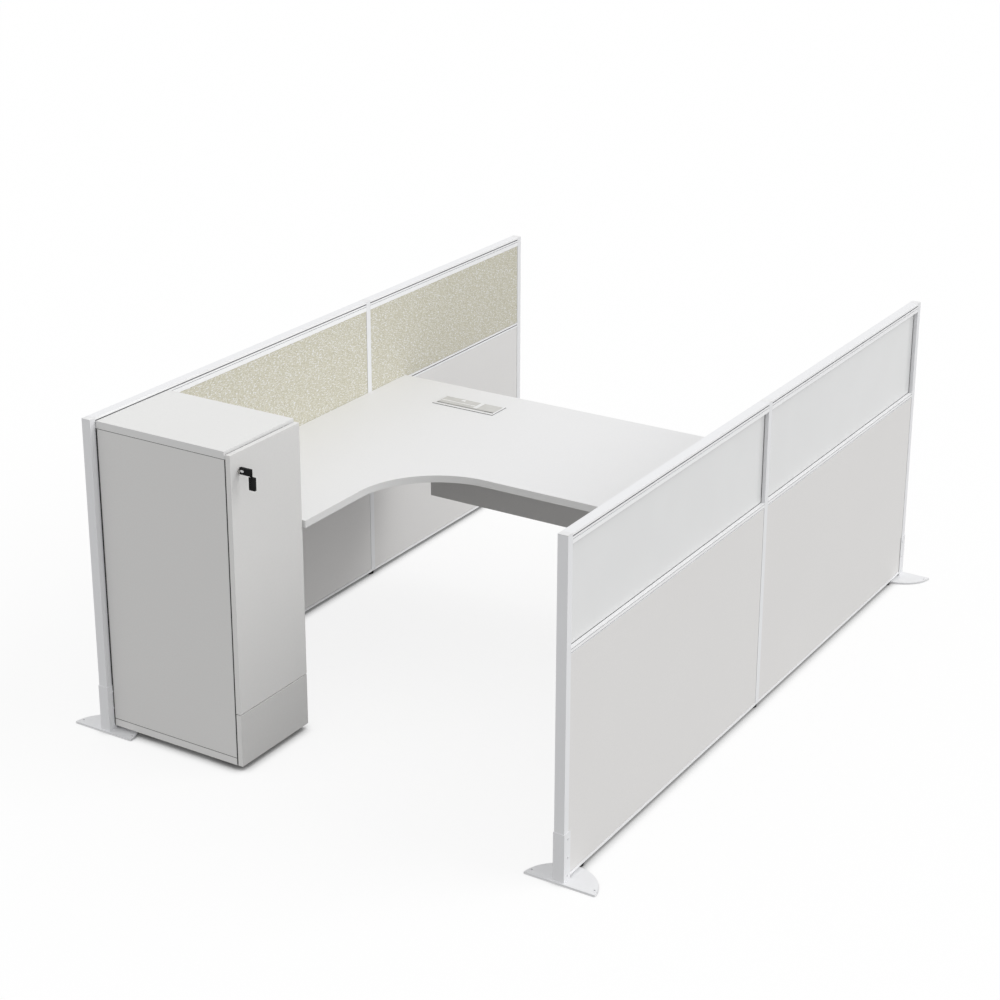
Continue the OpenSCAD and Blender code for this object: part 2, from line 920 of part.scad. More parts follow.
module lid(x0, length) {
    difference() {
        union() {
            slab([x0 + lid_gap, lid_axis_y, lid_top - lid_t],
                [length - 2 * lid_gap, lid_d - lid_r, lid_t]);
            bar_x([x0 + lid_gap, lid_axis_y, lid_axis_z], lid_r, length - 2 * lid_gap);
        }
        bar_x([x0 - cut, lid_axis_y, lid_axis_z], rod_r + rod_fit, length + 2 * cut);
    }
}

module long_lid() {
    color(lid_metal) place() difference() {
        lid(long_lid_x, long_lid_w);
        translate([long_lid_x + finger_x, lid_y0 + finger_y, lid_top - lid_t - cut])
            linear_extrude(lid_t + 2 * cut) finger_hole_2d();
    }
}

module short_lid() {
    color(lid_metal) place() lid(short_lid_x, short_lid_w);
}

module lid_rod() {
    color(bright_metal) place()
        bar_x([tray_x + rim_w + tray_wall, lid_axis_y, lid_axis_z], rod_r,
            tray_w - 2 * (rim_w + tray_wall));
}

module socket_strip() {
    z0 = tray_bottom + tray_wall;
    y0 = tray_y + tray_d - rim_w - tray_wall - socket_back - socket_d;
    color(grey_plastic) place() difference() {
        slab([tray_x + socket_x, y0, z0], [socket_l, socket_d, socket_h]);
        for (i = [0 : socket_count - 1]) translate([
            tray_x + socket_x + (i + 1) * socket_l / (socket_count + 1), y0 + socket_d / 2, z0 + socket_h
        ]) {
            bar_z([0, 0, -socket_sink], socket_r, socket_sink + cut);
            for (side = [-1, 1])
                bar_z([side * socket_pin_pitch / 2, 0, -socket_sink - socket_pin_sink],
                    socket_pin_r, socket_pin_sink + cut);
        }
    }
}

// Locker carcass
module locker_top() {
    color(white_board) place() difference() {
        slab([cab_x, cab_y, top_under], [cab_d, cab_w, top_t]);
        top_arm_screw_places() bar_z([0, 0, -cut], screw_r + slip, screw_depth + slip + cut);
    }
}

// Carries its child to the four glides under the locker
module locker_glide_places() {
    for (x = [cab_x + locker_glide_back, cab_front - locker_glide_front])
        for (y = [cab_y + locker_glide_side, cab_far - locker_glide_side])
            translate([x, y, 0]) children();
}

module locker_base() {
    color(white_board) place() difference() {
        slab([cab_x, cab_y, locker_glide_h], [cab_d, cab_w, top_t]);
        locker_glide_places()
            bar_z([0, 0, locker_glide_h - cut], glide_stem_r + slip, glide_stem_h + slip + cut);
    }
}

module locker_glides() {
    color(black_plastic) place() locker_glide_places() glide(locker_glide_r, locker_glide_h);
}

// Heights of the shelves' undersides
shelf_z = [for (i = [1 : shelf_count]) divider_top + i * shelf_pitch];

// Carries its child to each shelf pin, at the inner face of the near or far side
module shelf_pin_places() {
    for (z = shelf_z)
        for (x = [back_x + shelf_pin_inset, cab_front - shelf_pin_inset]) {
            translate([x, inner_y0, z - shelf_pin_r]) children();
            translate([x, inner_y1, z - shelf_pin_r]) mirror([0, 1, 0]) children();
        }
}

// A side board with its inner face against the shelves. Its outer face has a shadow line
// under the top board and one over the base board.
module locker_side(y0, outer_y) {
    difference() {
        slab([cab_x, y0, base_top], [cab_d, side_t, top_under - base_top]);
        shelf_pin_places() bar_y([0, -shelf_pin_in, 0], shelf_pin_r, shelf_pin_in + cut);
        for (z = [base_top - cut, top_under - seam_h])
            slab([cab_x - cut, outer_y - seam_d, z], [cab_d + 2 * cut, 2 * seam_d, cut + seam_h]);
    }
}

module locker_side_near() {
    color(white_board) place() locker_side(cab_y, cab_y);
}

module locker_side_far() {
    color(white_board) place() locker_side(inner_y1, cab_far);
}

module locker_back() {
    color(white_board) place()
        slab([cab_x, inner_y0, base_top], [back_t, inner_y1 - inner_y0, top_under - base_top]);
}

module divider_board() {
    color(white_board) place() difference() {
        slab([back_x, inner_y0, divider_top - side_t],
            [cab_front - back_x, inner_y1 - inner_y0, side_t]);
        low_arm_screw_places()
            bar_z([0, 0, -arm_screw_grip - slip], screw_r + slip, arm_screw_grip + slip + cut);
    }
}

module shelves() {
    color(white_board) place() for (z = shelf_z)
        slab([back_x + shelf_side_gap, inner_y0 + shelf_side_gap, z],
            [cab_d - back_t - shelf_side_gap - shelf_front_inset,
                inner_y1 - inner_y0 - 2 * shelf_side_gap, side_t]);
}

module shelf_pins() {
    color(bright_metal) place() shelf_pin_places()
        bar_y([0, -shelf_pin_in, 0], shelf_pin_r, shelf_pin_in + shelf_pin_out);
}

module bumper(y, z) {
    bar_x([cab_front, y, z], bumper_r, front_gap);
}

module front_bumpers() {
    color(grey_plastic) place() {
        bumper(cab_y + side_t / 2, door_z0 + bumper_inset);
        bumper(cab_y + side_t / 2, door_z1 - bumper_inset);
        bumper(cab_y + side_t / 2, drawer_bumper_z);
        bumper(cab_far - side_t / 2, drawer_bumper_z);
    }
}

// Door hinges
arm_y1 = inner_y1 - arm_side_gap;
arm_x0 = cab_front - arm_back;

module top_arm_screw_places() {
    for (i = [0, 1])
        translate([arm_x0 + arm_screw_in + i * arm_screw_pitch, arm_y1 - arm_w / 2, top_under])
            children();
}

module low_arm_screw_places() {
    for (i = [0, 1])
        translate([arm_x0 + arm_screw_in + i * arm_screw_pitch, arm_y1 - arm_w / 2, divider_top])
            children();
}

module arm_2d() {
    translate([arm_x0, arm_y1 - arm_w]) square([arm_back + arm_lead, arm_w]);
    translate([cab_front + arm_clear, arm_y1 - arm_leg])
        square([pivot_x - cab_front - arm_clear, pivot_y + arm_end_r - arm_y1 + arm_leg]);
    translate([pivot_x, pivot_y]) circle(arm_end_r);
}

module hinge_arm(z) {
    difference() {
        union() {
            translate([0, 0, z]) linear_extrude(arm_t) arm_2d();
            bar_z([pivot_x, pivot_y, z], pin_r, arm_t + pin_h);
        }
        for (i = [0, 1])
            bar_z([arm_x0 + arm_screw_in + i * arm_screw_pitch, arm_y1 - arm_w / 2, z - cut],
                screw_r + slip, arm_t + 2 * cut);
    }
}

module hinge_arms() {
    color(bare_steel) place() {
        hinge_arm(top_arm_z);
        hinge_arm(low_arm_z);
    }
}

module hinge_bush(z) {
    difference() {
        union() {
            bar_z([pivot_x, pivot_y, z], thrust_r, pocket_gap);
            bar_z([pivot_x, pivot_y, z], bush_r, bush_l);
        }
        bar_z([pivot_x, pivot_y, z - cut], pin_r + pin_fit, bush_l + 2 * cut);
    }
}

module hinge_bushes() {
    color(grey_plastic) place() {
        hinge_bush(top_arm_z + arm_t);
        hinge_bush(low_arm_z + arm_t);
    }
}

// The pocket in the door's back that an arm lies in, open at the door's far edge
module hinge_pocket_2d() {
    reach = arm_end_r + end_gap;
    low = arm_y1 - arm_w - pocket_gap;
    translate([front_x - cut, low])
        square([cut + pivot_x - front_x, front_y1 + cut - low]);
    translate([pivot_x - cut, pivot_y]) square([cut + reach, pivot_side + cut]);
    translate([pivot_x, pivot_y]) circle(reach);
}

module hinge_seat(z) {
    translate([0, 0, z - pocket_gap]) linear_extrude(arm_t + 2 * pocket_gap) hinge_pocket_2d();
    bar_z([pivot_x, pivot_y, z], bush_r, arm_t + bush_l);
}

module locker_door() {
    color(white_board) place() difference() {
        slab([front_x, front_y0, door_z0], [side_t, front_w, door_z1 - door_z0]);
        hinge_seat(top_arm_z);
        hinge_seat(low_arm_z);
        bar_x([front_x - cut, lock_y, lock_z], barrel_r + barrel_fit, side_t + 2 * cut);
    }
}

// Lock
barrel_x = front_x - barrel_back;
plug_end = front_out + ring_t - plug_sink;
cam_x = barrel_x - cam_gap - cam_t;

module lock_cylinder() {
    color(bright_metal) place() difference() {
        union() {
            bar_x([barrel_x, lock_y, lock_z], barrel_r, barrel_back + side_t);
            bar_x([front_out, lock_y, lock_z], ring_r, ring_t);
            translate([front_x - nut_t, lock_y, lock_z]) rotate([0, 90, 0])
                cylinder(r = nut_r, h = nut_t, $fn = 6);
        }
        bar_x([barrel_x - cut, lock_y, lock_z],
            plug_r + plug_fit, barrel_back + side_t + ring_t + 2 * cut);
    }
}

module lock_plug() {
    color(bare_steel) place() difference() {
        union() {
            bar_x([barrel_x - cam_gap, lock_y, lock_z], plug_r, plug_end - barrel_x + cam_gap);
            bar_x([cam_x - (boss_l - cam_t), lock_y, lock_z], boss_r, boss_l + cut);
        }
        slab([front_out - blade_in, lock_y - blade_t / 2 - blade_slip, lock_z - blade_h / 2 - blade_slip],
            [blade_in + ring_t + cut, blade_t + 2 * blade_slip, blade_h + 2 * blade_slip]);
    }
}

// The cam points up at rest, which is unlocked, and turns to the near side behind the keeper
module lock_cam() {
    color(bright_metal) place() difference() {
        slab([cam_x, lock_y - cam_w / 2, lock_z - cam_w / 2], [cam_t, cam_w, cam_w / 2 + cam_l]);
        bar_x([cam_x - cut, lock_y, lock_z], boss_r, cam_t + 2 * cut);
    }
}

module lock_keeper() {
    lip_x = cam_x + cam_t + keeper_clear;
    color(bright_metal) place() {
        slab([lip_x + keeper_t - keeper_d, inner_y0, lock_z - keeper_h / 2],
            [keeper_d, keeper_t, keeper_h]);
        slab([lip_x, inner_y0, lock_z - keeper_h / 2], [keeper_t, keeper_t + keeper_lip, keeper_h]);
    }
}

// Folding key
head_x = front_out + head_start;
head_z = lock_z + head_rise;
key_pin_x = head_x + head_l + key_pin_in;
key_pin_z = head_z - key_pin_drop;

module key() {
    color(black_plastic) place() {
        slab([front_out - blade_in + blade_slip, lock_y - blade_t / 2, lock_z - blade_h / 2],
            [blade_in - blade_slip + head_start, blade_t, blade_h]);
        slab([front_out + ring_t + blade_slip, lock_y - collar_t / 2, lock_z - collar_h / 2],
            [collar_l, collar_t, collar_h]);
        slab([head_x, lock_y - head_t / 2, head_z - head_h / 2], [head_l, head_t, head_h]);
        difference() {
            union() {
                slab([key_pin_x - ear_back, lock_y - ear_t / 2, key_pin_z],
                    [ear_back, ear_t, head_z - key_pin_z]);
                bar_y([key_pin_x, lock_y - ear_t / 2, key_pin_z], ear_r, ear_t);
            }
            bar_y([key_pin_x, lock_y - ear_t / 2 - cut, key_pin_z],
                key_pin_r + key_pin_fit, ear_t + 2 * cut);
        }
    }
}

module key_grip() {
    fork_z = key_pin_z - ear_r - 2 * cheek_gap;
    color(black_plastic) place() {
        difference() {
            slab([key_pin_x - grip_w / 2, lock_y - head_t / 2, key_pin_z + grip_rise - grip_h],
                [grip_w, head_t, grip_h]);
            slab([key_pin_x - grip_w / 2 - cut, lock_y - ear_t / 2 - cheek_gap, fork_z],
                [grip_w + 2 * cut, ear_t + 2 * cheek_gap, key_pin_z + grip_rise - fork_z + cut]);
        }
        bar_y([key_pin_x, lock_y - head_t / 2, key_pin_z], key_pin_r, head_t);
    }
}

// Drawer
module drawer_front() {
    color(white_board) place()
        slab([front_x, front_y0, locker_glide_h], [side_t, front_w, drawer_z1 - locker_glide_h]);
}

module drawer_bottom_slab(extra) {
    slab([drawer_x + drawer_wall - bottom_in, drawer_y0 + drawer_wall - bottom_in, drawer_z0 + bottom_rise],
        [front_x - drawer_x - drawer_wall + bottom_in + extra,
            drawer_y1 - drawer_y0 - 2 * (drawer_wall - bottom_in), bottom_t]);
}

module drawer_box() {
    color(bright_metal) place() difference() {
        slab([drawer_x, drawer_y0, drawer_z0], [front_x - drawer_x, drawer_y1 - drawer_y0, drawer_h]);
        slab([drawer_x + drawer_wall, drawer_y0 + drawer_wall, drawer_z0 - cut],
            [front_x - drawer_x, drawer_y1 - drawer_y0 - 2 * drawer_wall, drawer_h + 2 * cut]);
        drawer_bottom_slab(cut);
    }
}

module drawer_bottom() {
    color(white_board) place() drawer_bottom_slab(0);
}

// Runners: three nested channels on each side of the drawer
module channel_2d(y0, depth, half_h, web_at_start) {
    difference() {
        translate([y0, runner_z - half_h]) square([depth, 2 * half_h]);
        translate([web_at_start ? y0 + runner_t : y0 - cut, runner_z - half_h + runner_t])
            square([depth - runner_t + cut, 2 * (half_h - runner_t)]);
    }
}

module both_runners() {
    children();
    translate([0, inner_y0 + inner_y1, 0]) mirror([0, 1, 0]) children();
}

middle_half = runner_h / 2 - runner_t - runner_play;
moving_half = middle_half - runner_t - runner_play;

module runner_fixed() {
    color(bare_steel) place() both_runners() along_x(runner_x, runner_l)
        channel_2d(inner_y0, runner_depth, runner_h / 2, true);
}

module runner_middle() {
    color(bare_steel) place() both_runners() along_x(runner_x, runner_l)
        channel_2d(inner_y0 + runner_t + runner_play, runner_depth - runner_t, middle_half, true);
}

module runner_moving() {
    color(bare_steel) place() both_runners() along_x(runner_x, runner_l)
        channel_2d(drawer_y0 - runner_depth + 2 * runner_t, runner_depth - 2 * runner_t,
            moving_half, false);
}

left_posts();
right_posts();
post_caps();
left_top_rails();
right_top_rails();
left_mid_rails();
right_mid_rails();
bottom_rails();
pinboard_near();
pinboard_far();
left_tile_near();
left_tile_far();
left_back_boards();
left_back_tiles();
right_tile_near();
right_tile_far();
right_inner_tiles();
pane_near();
pane_far();
pane_gaskets();
left_feet();
right_feet();
foot_screws();
wall_glides();
worktop();
worktop_brackets();
fixing_screws();
modesty_panel();
modesty_angles();
cable_box();
long_lid();
short_lid();
lid_rod();
socket_strip();
locker_top();
locker_base();
locker_side_near();
locker_side_far();
locker_back();
divider_board();
shelves();
shelf_pins();
locker_glides();
front_bumpers();
locker_door();
hinge_arms();
hinge_bushes();
lock_cylinder();
lock_plug();
lock_cam();
lock_keeper();
key();
key_grip();
drawer_front();
drawer_box();
drawer_bottom();
runner_fixed();
runner_middle();
runner_moving();
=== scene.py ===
"""Finishes, small parts, light and camera of the cubicle workstation, built round its frame.

The walls run along Y, the left one on the -X side. Lengths in the dataclasses are in metres.
"""

import json
import logging
import math
from dataclasses import dataclass
from enum import Enum
from typing import Any, Callable, Iterable, Sequence

import bmesh
import bpy
from mathutils import Matrix, Vector

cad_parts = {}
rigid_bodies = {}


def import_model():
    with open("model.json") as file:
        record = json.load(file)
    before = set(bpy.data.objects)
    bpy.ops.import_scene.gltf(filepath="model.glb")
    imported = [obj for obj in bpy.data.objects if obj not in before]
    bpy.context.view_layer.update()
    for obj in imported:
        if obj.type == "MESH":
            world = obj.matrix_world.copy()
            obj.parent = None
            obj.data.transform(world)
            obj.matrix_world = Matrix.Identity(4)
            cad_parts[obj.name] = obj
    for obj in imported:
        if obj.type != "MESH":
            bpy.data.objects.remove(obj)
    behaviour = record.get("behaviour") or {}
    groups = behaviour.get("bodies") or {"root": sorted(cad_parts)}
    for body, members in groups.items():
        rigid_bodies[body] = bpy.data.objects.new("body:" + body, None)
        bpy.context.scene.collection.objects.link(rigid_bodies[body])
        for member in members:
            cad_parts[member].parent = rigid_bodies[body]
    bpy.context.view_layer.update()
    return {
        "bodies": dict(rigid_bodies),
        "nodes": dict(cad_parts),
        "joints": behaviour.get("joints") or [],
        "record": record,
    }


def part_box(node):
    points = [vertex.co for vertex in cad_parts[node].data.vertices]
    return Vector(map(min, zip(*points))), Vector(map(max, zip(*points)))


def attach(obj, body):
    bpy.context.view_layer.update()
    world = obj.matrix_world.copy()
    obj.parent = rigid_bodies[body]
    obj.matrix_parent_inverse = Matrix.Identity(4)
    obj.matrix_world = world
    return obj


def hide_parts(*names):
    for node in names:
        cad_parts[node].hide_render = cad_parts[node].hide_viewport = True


LOG = logging.getLogger("workstation")
MM = 0.001
FLAT_ANGLE = math.radians(0.6)
CREASE_ANGLE = math.radians(38)
EDGE_ANGLE = math.radians(30)
WELD = 0.004 * MM
HAIR = 0.02 * MM  # keeps a piece's face off the face that it lies on
NOISE_LOW, NOISE_MIDDLE, NOISE_HIGH = 0.3, 0.5, 0.7
FADE = 0.985  # how dark a clean surface gets, as a share of its tint
CROSS_ARM = 0.3  # half an arm's width, as a share of its length
HEAD_RIM = 0.3 * MM
HEAD_CORNERS = 16
HEAD_ROUND = 1.05  # how much a round head's radii may differ
BROAD = 0.9  # the least share of a normal along a board's thickness

Colour = tuple[float, float, float]
Groove = tuple[float, float, float]
Span = tuple[Vector, Vector]
Mesh = bmesh.types.BMesh
Detail = Callable[[Mesh], None]


class Axis(Enum):
    """The three directions of the frame."""

    X = 0
    Y = 1
    Z = 2


# Shader nodes


class Wire:
    """A shader socket, whose operators add the Math nodes of an expression."""

    def __init__(self, kit: "NodeKit", socket: bpy.types.NodeSocket) -> None:
        """Keeps the socket and the tree it is in.

        Args:
            kit: The tree's node maker.
            socket: An output socket in that tree.
        """
        self.kit = kit
        self.socket = socket

    def _math(self, operation: str, first: "Wire | float", second: "Wire | float") -> "Wire":
        """Adds one Math node and returns its value."""
        return self.kit.node("ShaderNodeMath", {"operation": operation}, {0: first, 1: second})

    def __add__(self, other: "Wire | float") -> "Wire":
        """Returns the sum."""
        return self._math("ADD", self, other)

    def __sub__(self, other: "Wire | float") -> "Wire":
        """Returns the difference."""
        return self._math("SUBTRACT", self, other)

    def __rsub__(self, other: float) -> "Wire":
        """Returns the difference from a number."""
        return self._math("SUBTRACT", other, self)

    def __mul__(self, other: "Wire | float") -> "Wire":
        """Returns the product."""
        return self._math("MULTIPLY", self, other)

    def __gt__(self, other: "Wire | float") -> "Wire":
        """Returns 1 where this is greater, else 0."""
        return self._math("GREATER_THAN", self, other)

    __radd__ = __add__
    __rmul__ = __mul__

    def step(self, low: float, high: float) -> "Wire":
        """Returns a smooth rise from 0 at low to 1 at high."""
        return self.kit.node(
            "ShaderNodeMapRange",
            {"interpolation_type": "SMOOTHSTEP"},
            {"Value": self, "From Min": low, "From Max": high},
        )

    def spread(self) -> "Wire":
        """Returns noise widened to reach from 0 to 1."""
        return self.step(NOISE_LOW, NOISE_HIGH)

    def about(self, share: float) -> "Wire":
        """Returns noise's swing about its middle, times a share."""
        return (self - NOISE_MIDDLE) * share


class NodeKit:
    """The node tree of a material or world, with one method that adds any node."""

    def __init__(self, owner: bpy.types.Material | bpy.types.World) -> None:
        """Empties the owner's node tree.

        Args:
            owner: The material or world to fill.
        """
        owner.use_nodes = True
        self.tree = owner.node_tree
        self.tree.nodes.clear()

    def node(
        self,
        kind: str,
        settings: dict[str, Any] | None = None,
        inputs: dict[str | int, Any] | None = None,
        out: str | int = 0,
    ) -> Wire:
        """Adds a node, with its settings before its sockets.

        Args:
            kind: The node's type.
            settings: Its attributes.
            inputs: A value or a wire for each socket that is set.
            out: The output that is returned.

        Returns:
            The node's output, or the first of its inputs where it has no output.
        """
        made = self.tree.nodes.new(kind)
        for name, value in (settings or {}).items():
            setattr(made, name, value)
        for name, value in (inputs or {}).items():
            if isinstance(value, Wire):
                self.tree.links.new(value.socket, made.inputs[name])
            else:
                made.inputs[name].default_value = value
        return Wire(self, made.outputs[out] if made.outputs else made.inputs[0])

    def coords(
        self,
        stretch: Sequence[float] = (1.0, 1.0, 1.0),
        shift: Sequence[float] = (0.0, 0.0, 0.0),
        turn: Sequence[float] = (0.0, 0.0, 0.0),
    ) -> Wire:
        """Returns object coordinates, stretched, turned and shifted by a Mapping node.

        Args:
            stretch: The scale along each axis.
            shift: The offset along each axis.
            turn: The angle about each axis.

        Returns:
            The vector.
        """
        base = self.node("ShaderNodeTexCoord", out="Object")
        sockets = {"Vector": base, "Scale": stretch, "Location": shift, "Rotation": turn}
        return self.node("ShaderNodeMapping", {}, sockets)

    def noise(self, at: Wire, scale: float, detail: float = 2.0, rough: float = 0.5) -> Wire:
        """Returns smooth noise between about 0.25 and 0.75.

        Args:
            at: The coordinates.
            scale: The number of waves in a metre.
            detail: The number of finer octaves.
            rough: How strong the finer octaves are.

        Returns:
            The noise.
        """
        sockets = {"Vector": at, "Scale": scale, "Detail": detail, "Roughness": rough}
        return self.node("ShaderNodeTexNoise", {}, sockets)

    def cells(self, at: Wire, scale: float) -> Wire:
        """Returns how far a place is from the middle of its cell.

        Args:
            at: The coordinates.
            scale: The number of cells in a metre.

        Returns:
            The pattern.
        """
        return self.node("ShaderNodeTexVoronoi", {}, {"Vector": at, "Scale": scale}, "Distance")

    def blend(self, factor: Wire | float, first: Wire | Colour, second: Wire | Colour) -> Wire:
        """Mixes two colours.

        Args:
            factor: How much of the second shows.
            first: The colour at 0.
            second: The colour at 1.

        Returns:
            The colour.
        """
        pair = [c if isinstance(c, Wire) else (*c, 1.0) for c in (first, second)]
        sockets = {0: factor, 6: pair[0], 7: pair[1]}
        return self.node("ShaderNodeMix", {"data_type": "RGBA"}, sockets, 2)

    def bump(self, height: Wire, depth: float, strength: float = 1.0) -> Wire:
        """Returns a normal bent by a height.

        Args:
            height: The height, from 0 to 1.
            depth: What a height of 1 stands for, in metres.
            strength: How much of it shows.

        Returns:
            The normal.
        """
        sockets = {"Height": height, "Distance": depth, "Strength": strength}
        return self.node("ShaderNodeBump", {}, sockets)

    def surface(self, sockets: dict[str, Any]) -> None:
        """Adds the surface shader and the material's output.

        Args:
            sockets: A value or a wire for each socket of the shader that is set.
        """
        shader = self.node("ShaderNodeBsdfPrincipled", {}, sockets)
        self.node("ShaderNodeOutputMaterial", {}, {"Surface": shader})


def shade_of(tint: Colour, share: float) -> Colour:
    """Returns a colour made darker or lighter by a share."""
    return tuple(min(1.0, c * share) for c in tint)


# Finishes


@dataclass(frozen=True)
class Finish:
    """A finish: its name, the record's slot it belongs to, its colour and its roughness."""

    name: str
    slot: str
    tint: Colour
    rough: float

    def material(self) -> bpy.types.Material:
        """Returns the finish's material, which is made at its first use."""
        found = bpy.data.materials.get(self.name)
        if found is None:
            found = bpy.data.materials.new(self.name)
            self.shade(NodeKit(found))
        return found

    def shade(self, kit: NodeKit) -> None:
        """Fills the material's nodes.

        Args:
            kit: The material's node maker.
        """
        raise NotImplementedError


@dataclass(frozen=True)
class PowderCoat(Finish):
    """Baked powder paint: fine orange peel and small differences in gloss."""

    peel: float = 620.0
    peel_depth: float = 0.05 * MM
    cloud: float = 5.0

    def shade(self, kit: NodeKit) -> None:
        """Fills the material's nodes.

        Args:
            kit: The material's node maker.
        """
        at = kit.coords()
        peel = kit.noise(at, self.peel, 2.0, 0.45)
        cloud = kit.noise(at, self.cloud, 3.0)
        sockets = {
            "Base Color": kit.blend(cloud.spread(), shade_of(self.tint, FADE), self.tint),
            "Roughness": cloud.about(0.16) + peel.about(0.08) + self.rough,
            "Normal": kit.bump(peel, self.peel_depth),
            "Specular IOR Level": 0.5,
        }
        kit.surface(sockets)


@dataclass(frozen=True)
class Laminate(Finish):
    """Melamine-faced board: a fine pebbled press plate over a faintly mottled paper."""

    pebble: float = 900.0
    pebble_depth: float = 0.03 * MM
    paper: float = 160.0
    mottle: float = 0.02
    cloud: float = 2.2

    def shade(self, kit: NodeKit) -> None:
        """Fills the material's nodes.

        Args:
            kit: The material's node maker.
        """
        at = kit.coords()
        pebble = kit.cells(at, self.pebble)
        paper = kit.noise(at, self.paper, 4.0, 0.6)
        cloud = kit.noise(at, self.cloud, 2.0)
        fine = kit.blend(paper.step(0.35, 0.65), shade_of(self.tint, 1.0 - self.mottle), self.tint)
        sockets = {
            "Base Color": kit.blend(cloud.spread() * 0.5, fine, shade_of(self.tint, FADE)),
            "Roughness": cloud.about(0.14) + paper.about(0.08) + self.rough,
            "Normal": kit.bump(pebble, self.pebble_depth),
        }
        kit.surface(sockets)


@dataclass(frozen=True)
class EdgeBand(Finish):
    """Plastic band glued round a board's edges, with faint lines from its scraper."""

    lines: float = 60.0
    stretch: tuple[float, float, float] = (0.4, 0.4, 30.0)
    grain: float = 1100.0
    depth: float = 0.02 * MM

    def shade(self, kit: NodeKit) -> None:
        """Fills the material's nodes.

        Args:
            kit: The material's node maker.
        """
        lines = kit.noise(kit.coords(self.stretch), self.lines, 3.0, 0.6)
        grain = kit.noise(kit.coords(), self.grain, 1.0)
        sockets = {
            "Base Color": kit.blend(lines.spread(), shade_of(self.tint, 0.975), self.tint),
            "Roughness": lines.about(0.12) + self.rough,
            "Normal": kit.bump(lines * 0.6 + grain * 0.4, self.depth),
        }
        kit.surface(sockets)


@dataclass(frozen=True)
class Felt(Finish):
    """Heathered cloth: short fibres with pale and dark flecks, and a soft sheen."""

    pale: Colour = (0.84, 0.84, 0.84)
    dark: Colour = (0.50, 0.47, 0.35)
    lean: float = math.radians(9)
    fibres: float = 430.0
    flecks: float = 310.0
    clumps: float = 34.0
    depth: float = 0.7 * MM

    def shade(self, kit: NodeKit) -> None:
        """Fills the material's nodes.

        Args:
            kit: The material's node maker.
        """
        turn = (self.lean, 0.0, 0.0)
        weft = kit.coords((1.0, 0.35, 1.0), turn=turn)
        warp = kit.coords((1.0, 1.0, 0.35), (0.7, 0.2, 0.4))
        ways = [kit.noise(way, self.fibres, 4.0, 0.7) for way in (weft, warp)]
        fleck = kit.coords((1.0, 0.3, 1.0), (1.3, 0.4, 2.2), turn)
        fleck = kit.noise(fleck, self.flecks, 3.0, 0.6)
        drift = kit.coords((1.0, 0.3, 1.0), (3.1, 1.7, 0.3), turn)
        drift = kit.noise(drift, self.flecks, 3.0, 0.65)
        clump = kit.noise(kit.coords((1.0, 0.6, 1.0), (0.3, 0.9, 0.1)), self.clumps, 3.0, 0.6)
        fibre = (ways[0] + ways[1]) * 0.5
        shades = shade_of(self.tint, 0.84), shade_of(self.tint, 1.14)
        colour = kit.blend(fibre.step(0.38, 0.62), *shades)
        colour = kit.blend(clump.step(0.35, 0.65) * 0.3, colour, shade_of(self.tint, 0.95))
        colour = kit.blend(drift.step(0.5, 0.64) * 0.85, colour, self.dark)
        colour = kit.blend(fleck.step(0.53, 0.62), colour, self.pale)
        sockets = {
            "Base Color": colour,
            "Roughness": fibre * 0.1 + self.rough,
            "Normal": kit.bump(fibre * 0.6 + fleck * 0.8, self.depth, 0.7),
            "Sheen Weight": 0.12,
            "Sheen Roughness": 0.5,
            "Specular IOR Level": 0.2,
        }
        kit.surface(sockets)


@dataclass(frozen=True)
class OpalPane(Finish):
    """Back-painted opal glass: smooth, slightly wavy, with a soft polish."""

    wave: float = 6.0
    film: float = 30.0
    depth: float = 0.5 * MM

    def shade(self, kit: NodeKit) -> None:
        """Fills the material's nodes.

        Args:
            kit: The material's node maker.
        """
        wave = kit.noise(kit.coords(), self.wave, 1.0)
        film = kit.noise(kit.coords(), self.film, 4.0, 0.6)
        sockets = {
            "Base Color": kit.blend(wave.spread(), shade_of(self.tint, FADE), self.tint),
            "Roughness": film.about(0.08) + self.rough,
            "Normal": kit.bump(wave, self.depth, 0.5),
            "IOR": 1.5,
            "Coat Weight": 0.25,
            "Coat Roughness": 0.08,
        }
        kit.surface(sockets)


@dataclass(frozen=True)
class Metal(Finish):
    """Bare or plated metal with fine drawn lines along one axis."""

    along: Axis = Axis.Z
    depth: float = 0.02 * MM
    metallic: float = 1.0
    lines: float = 1400.0
    squeeze: float = 0.04
    stain: float = 45.0

    def shade(self, kit: NodeKit) -> None:
        """Fills the material's nodes.

        Args:
            kit: The material's node maker.
        """
        stretch = [self.squeeze if axis is self.along else 1.0 for axis in Axis]
        drawn = kit.noise(kit.coords(stretch), self.lines, 3.0, 0.6)
        stain = kit.noise(kit.coords(), self.stain, 4.0, 0.6)
        sockets = {
            "Base Color": kit.blend(stain.spread(), shade_of(self.tint, 0.92), self.tint),
            "Metallic": self.metallic,
            "Roughness": drawn.about(0.2) + stain.about(0.16) + self.rough,
            "Normal": kit.bump(drawn, self.depth),
        }
        kit.surface(sockets)


@dataclass(frozen=True)
class Moulded(Finish):
    """Injection-moulded plastic or rubber with an etched grain."""

    grain: float = 1500.0
    depth: float = 0.03 * MM
    gloss: float = 0.5
    flow: float = 25.0

    def shade(self, kit: NodeKit) -> None:
        """Fills the material's nodes.

        Args:
            kit: The material's node maker.
        """
        grain = kit.cells(kit.coords(), self.grain)
        flow = kit.noise(kit.coords(), self.flow, 3.0, 0.6)
        shades = shade_of(self.tint, 0.94), shade_of(self.tint, 1.03)
        sockets = {
            "Base Color": kit.blend(flow.spread(), *shades),
            "Roughness": flow.about(0.2) + self.rough,
            "Normal": kit.bump(grain, self.depth),
            "Specular IOR Level": self.gloss,
        }
        kit.surface(sockets)


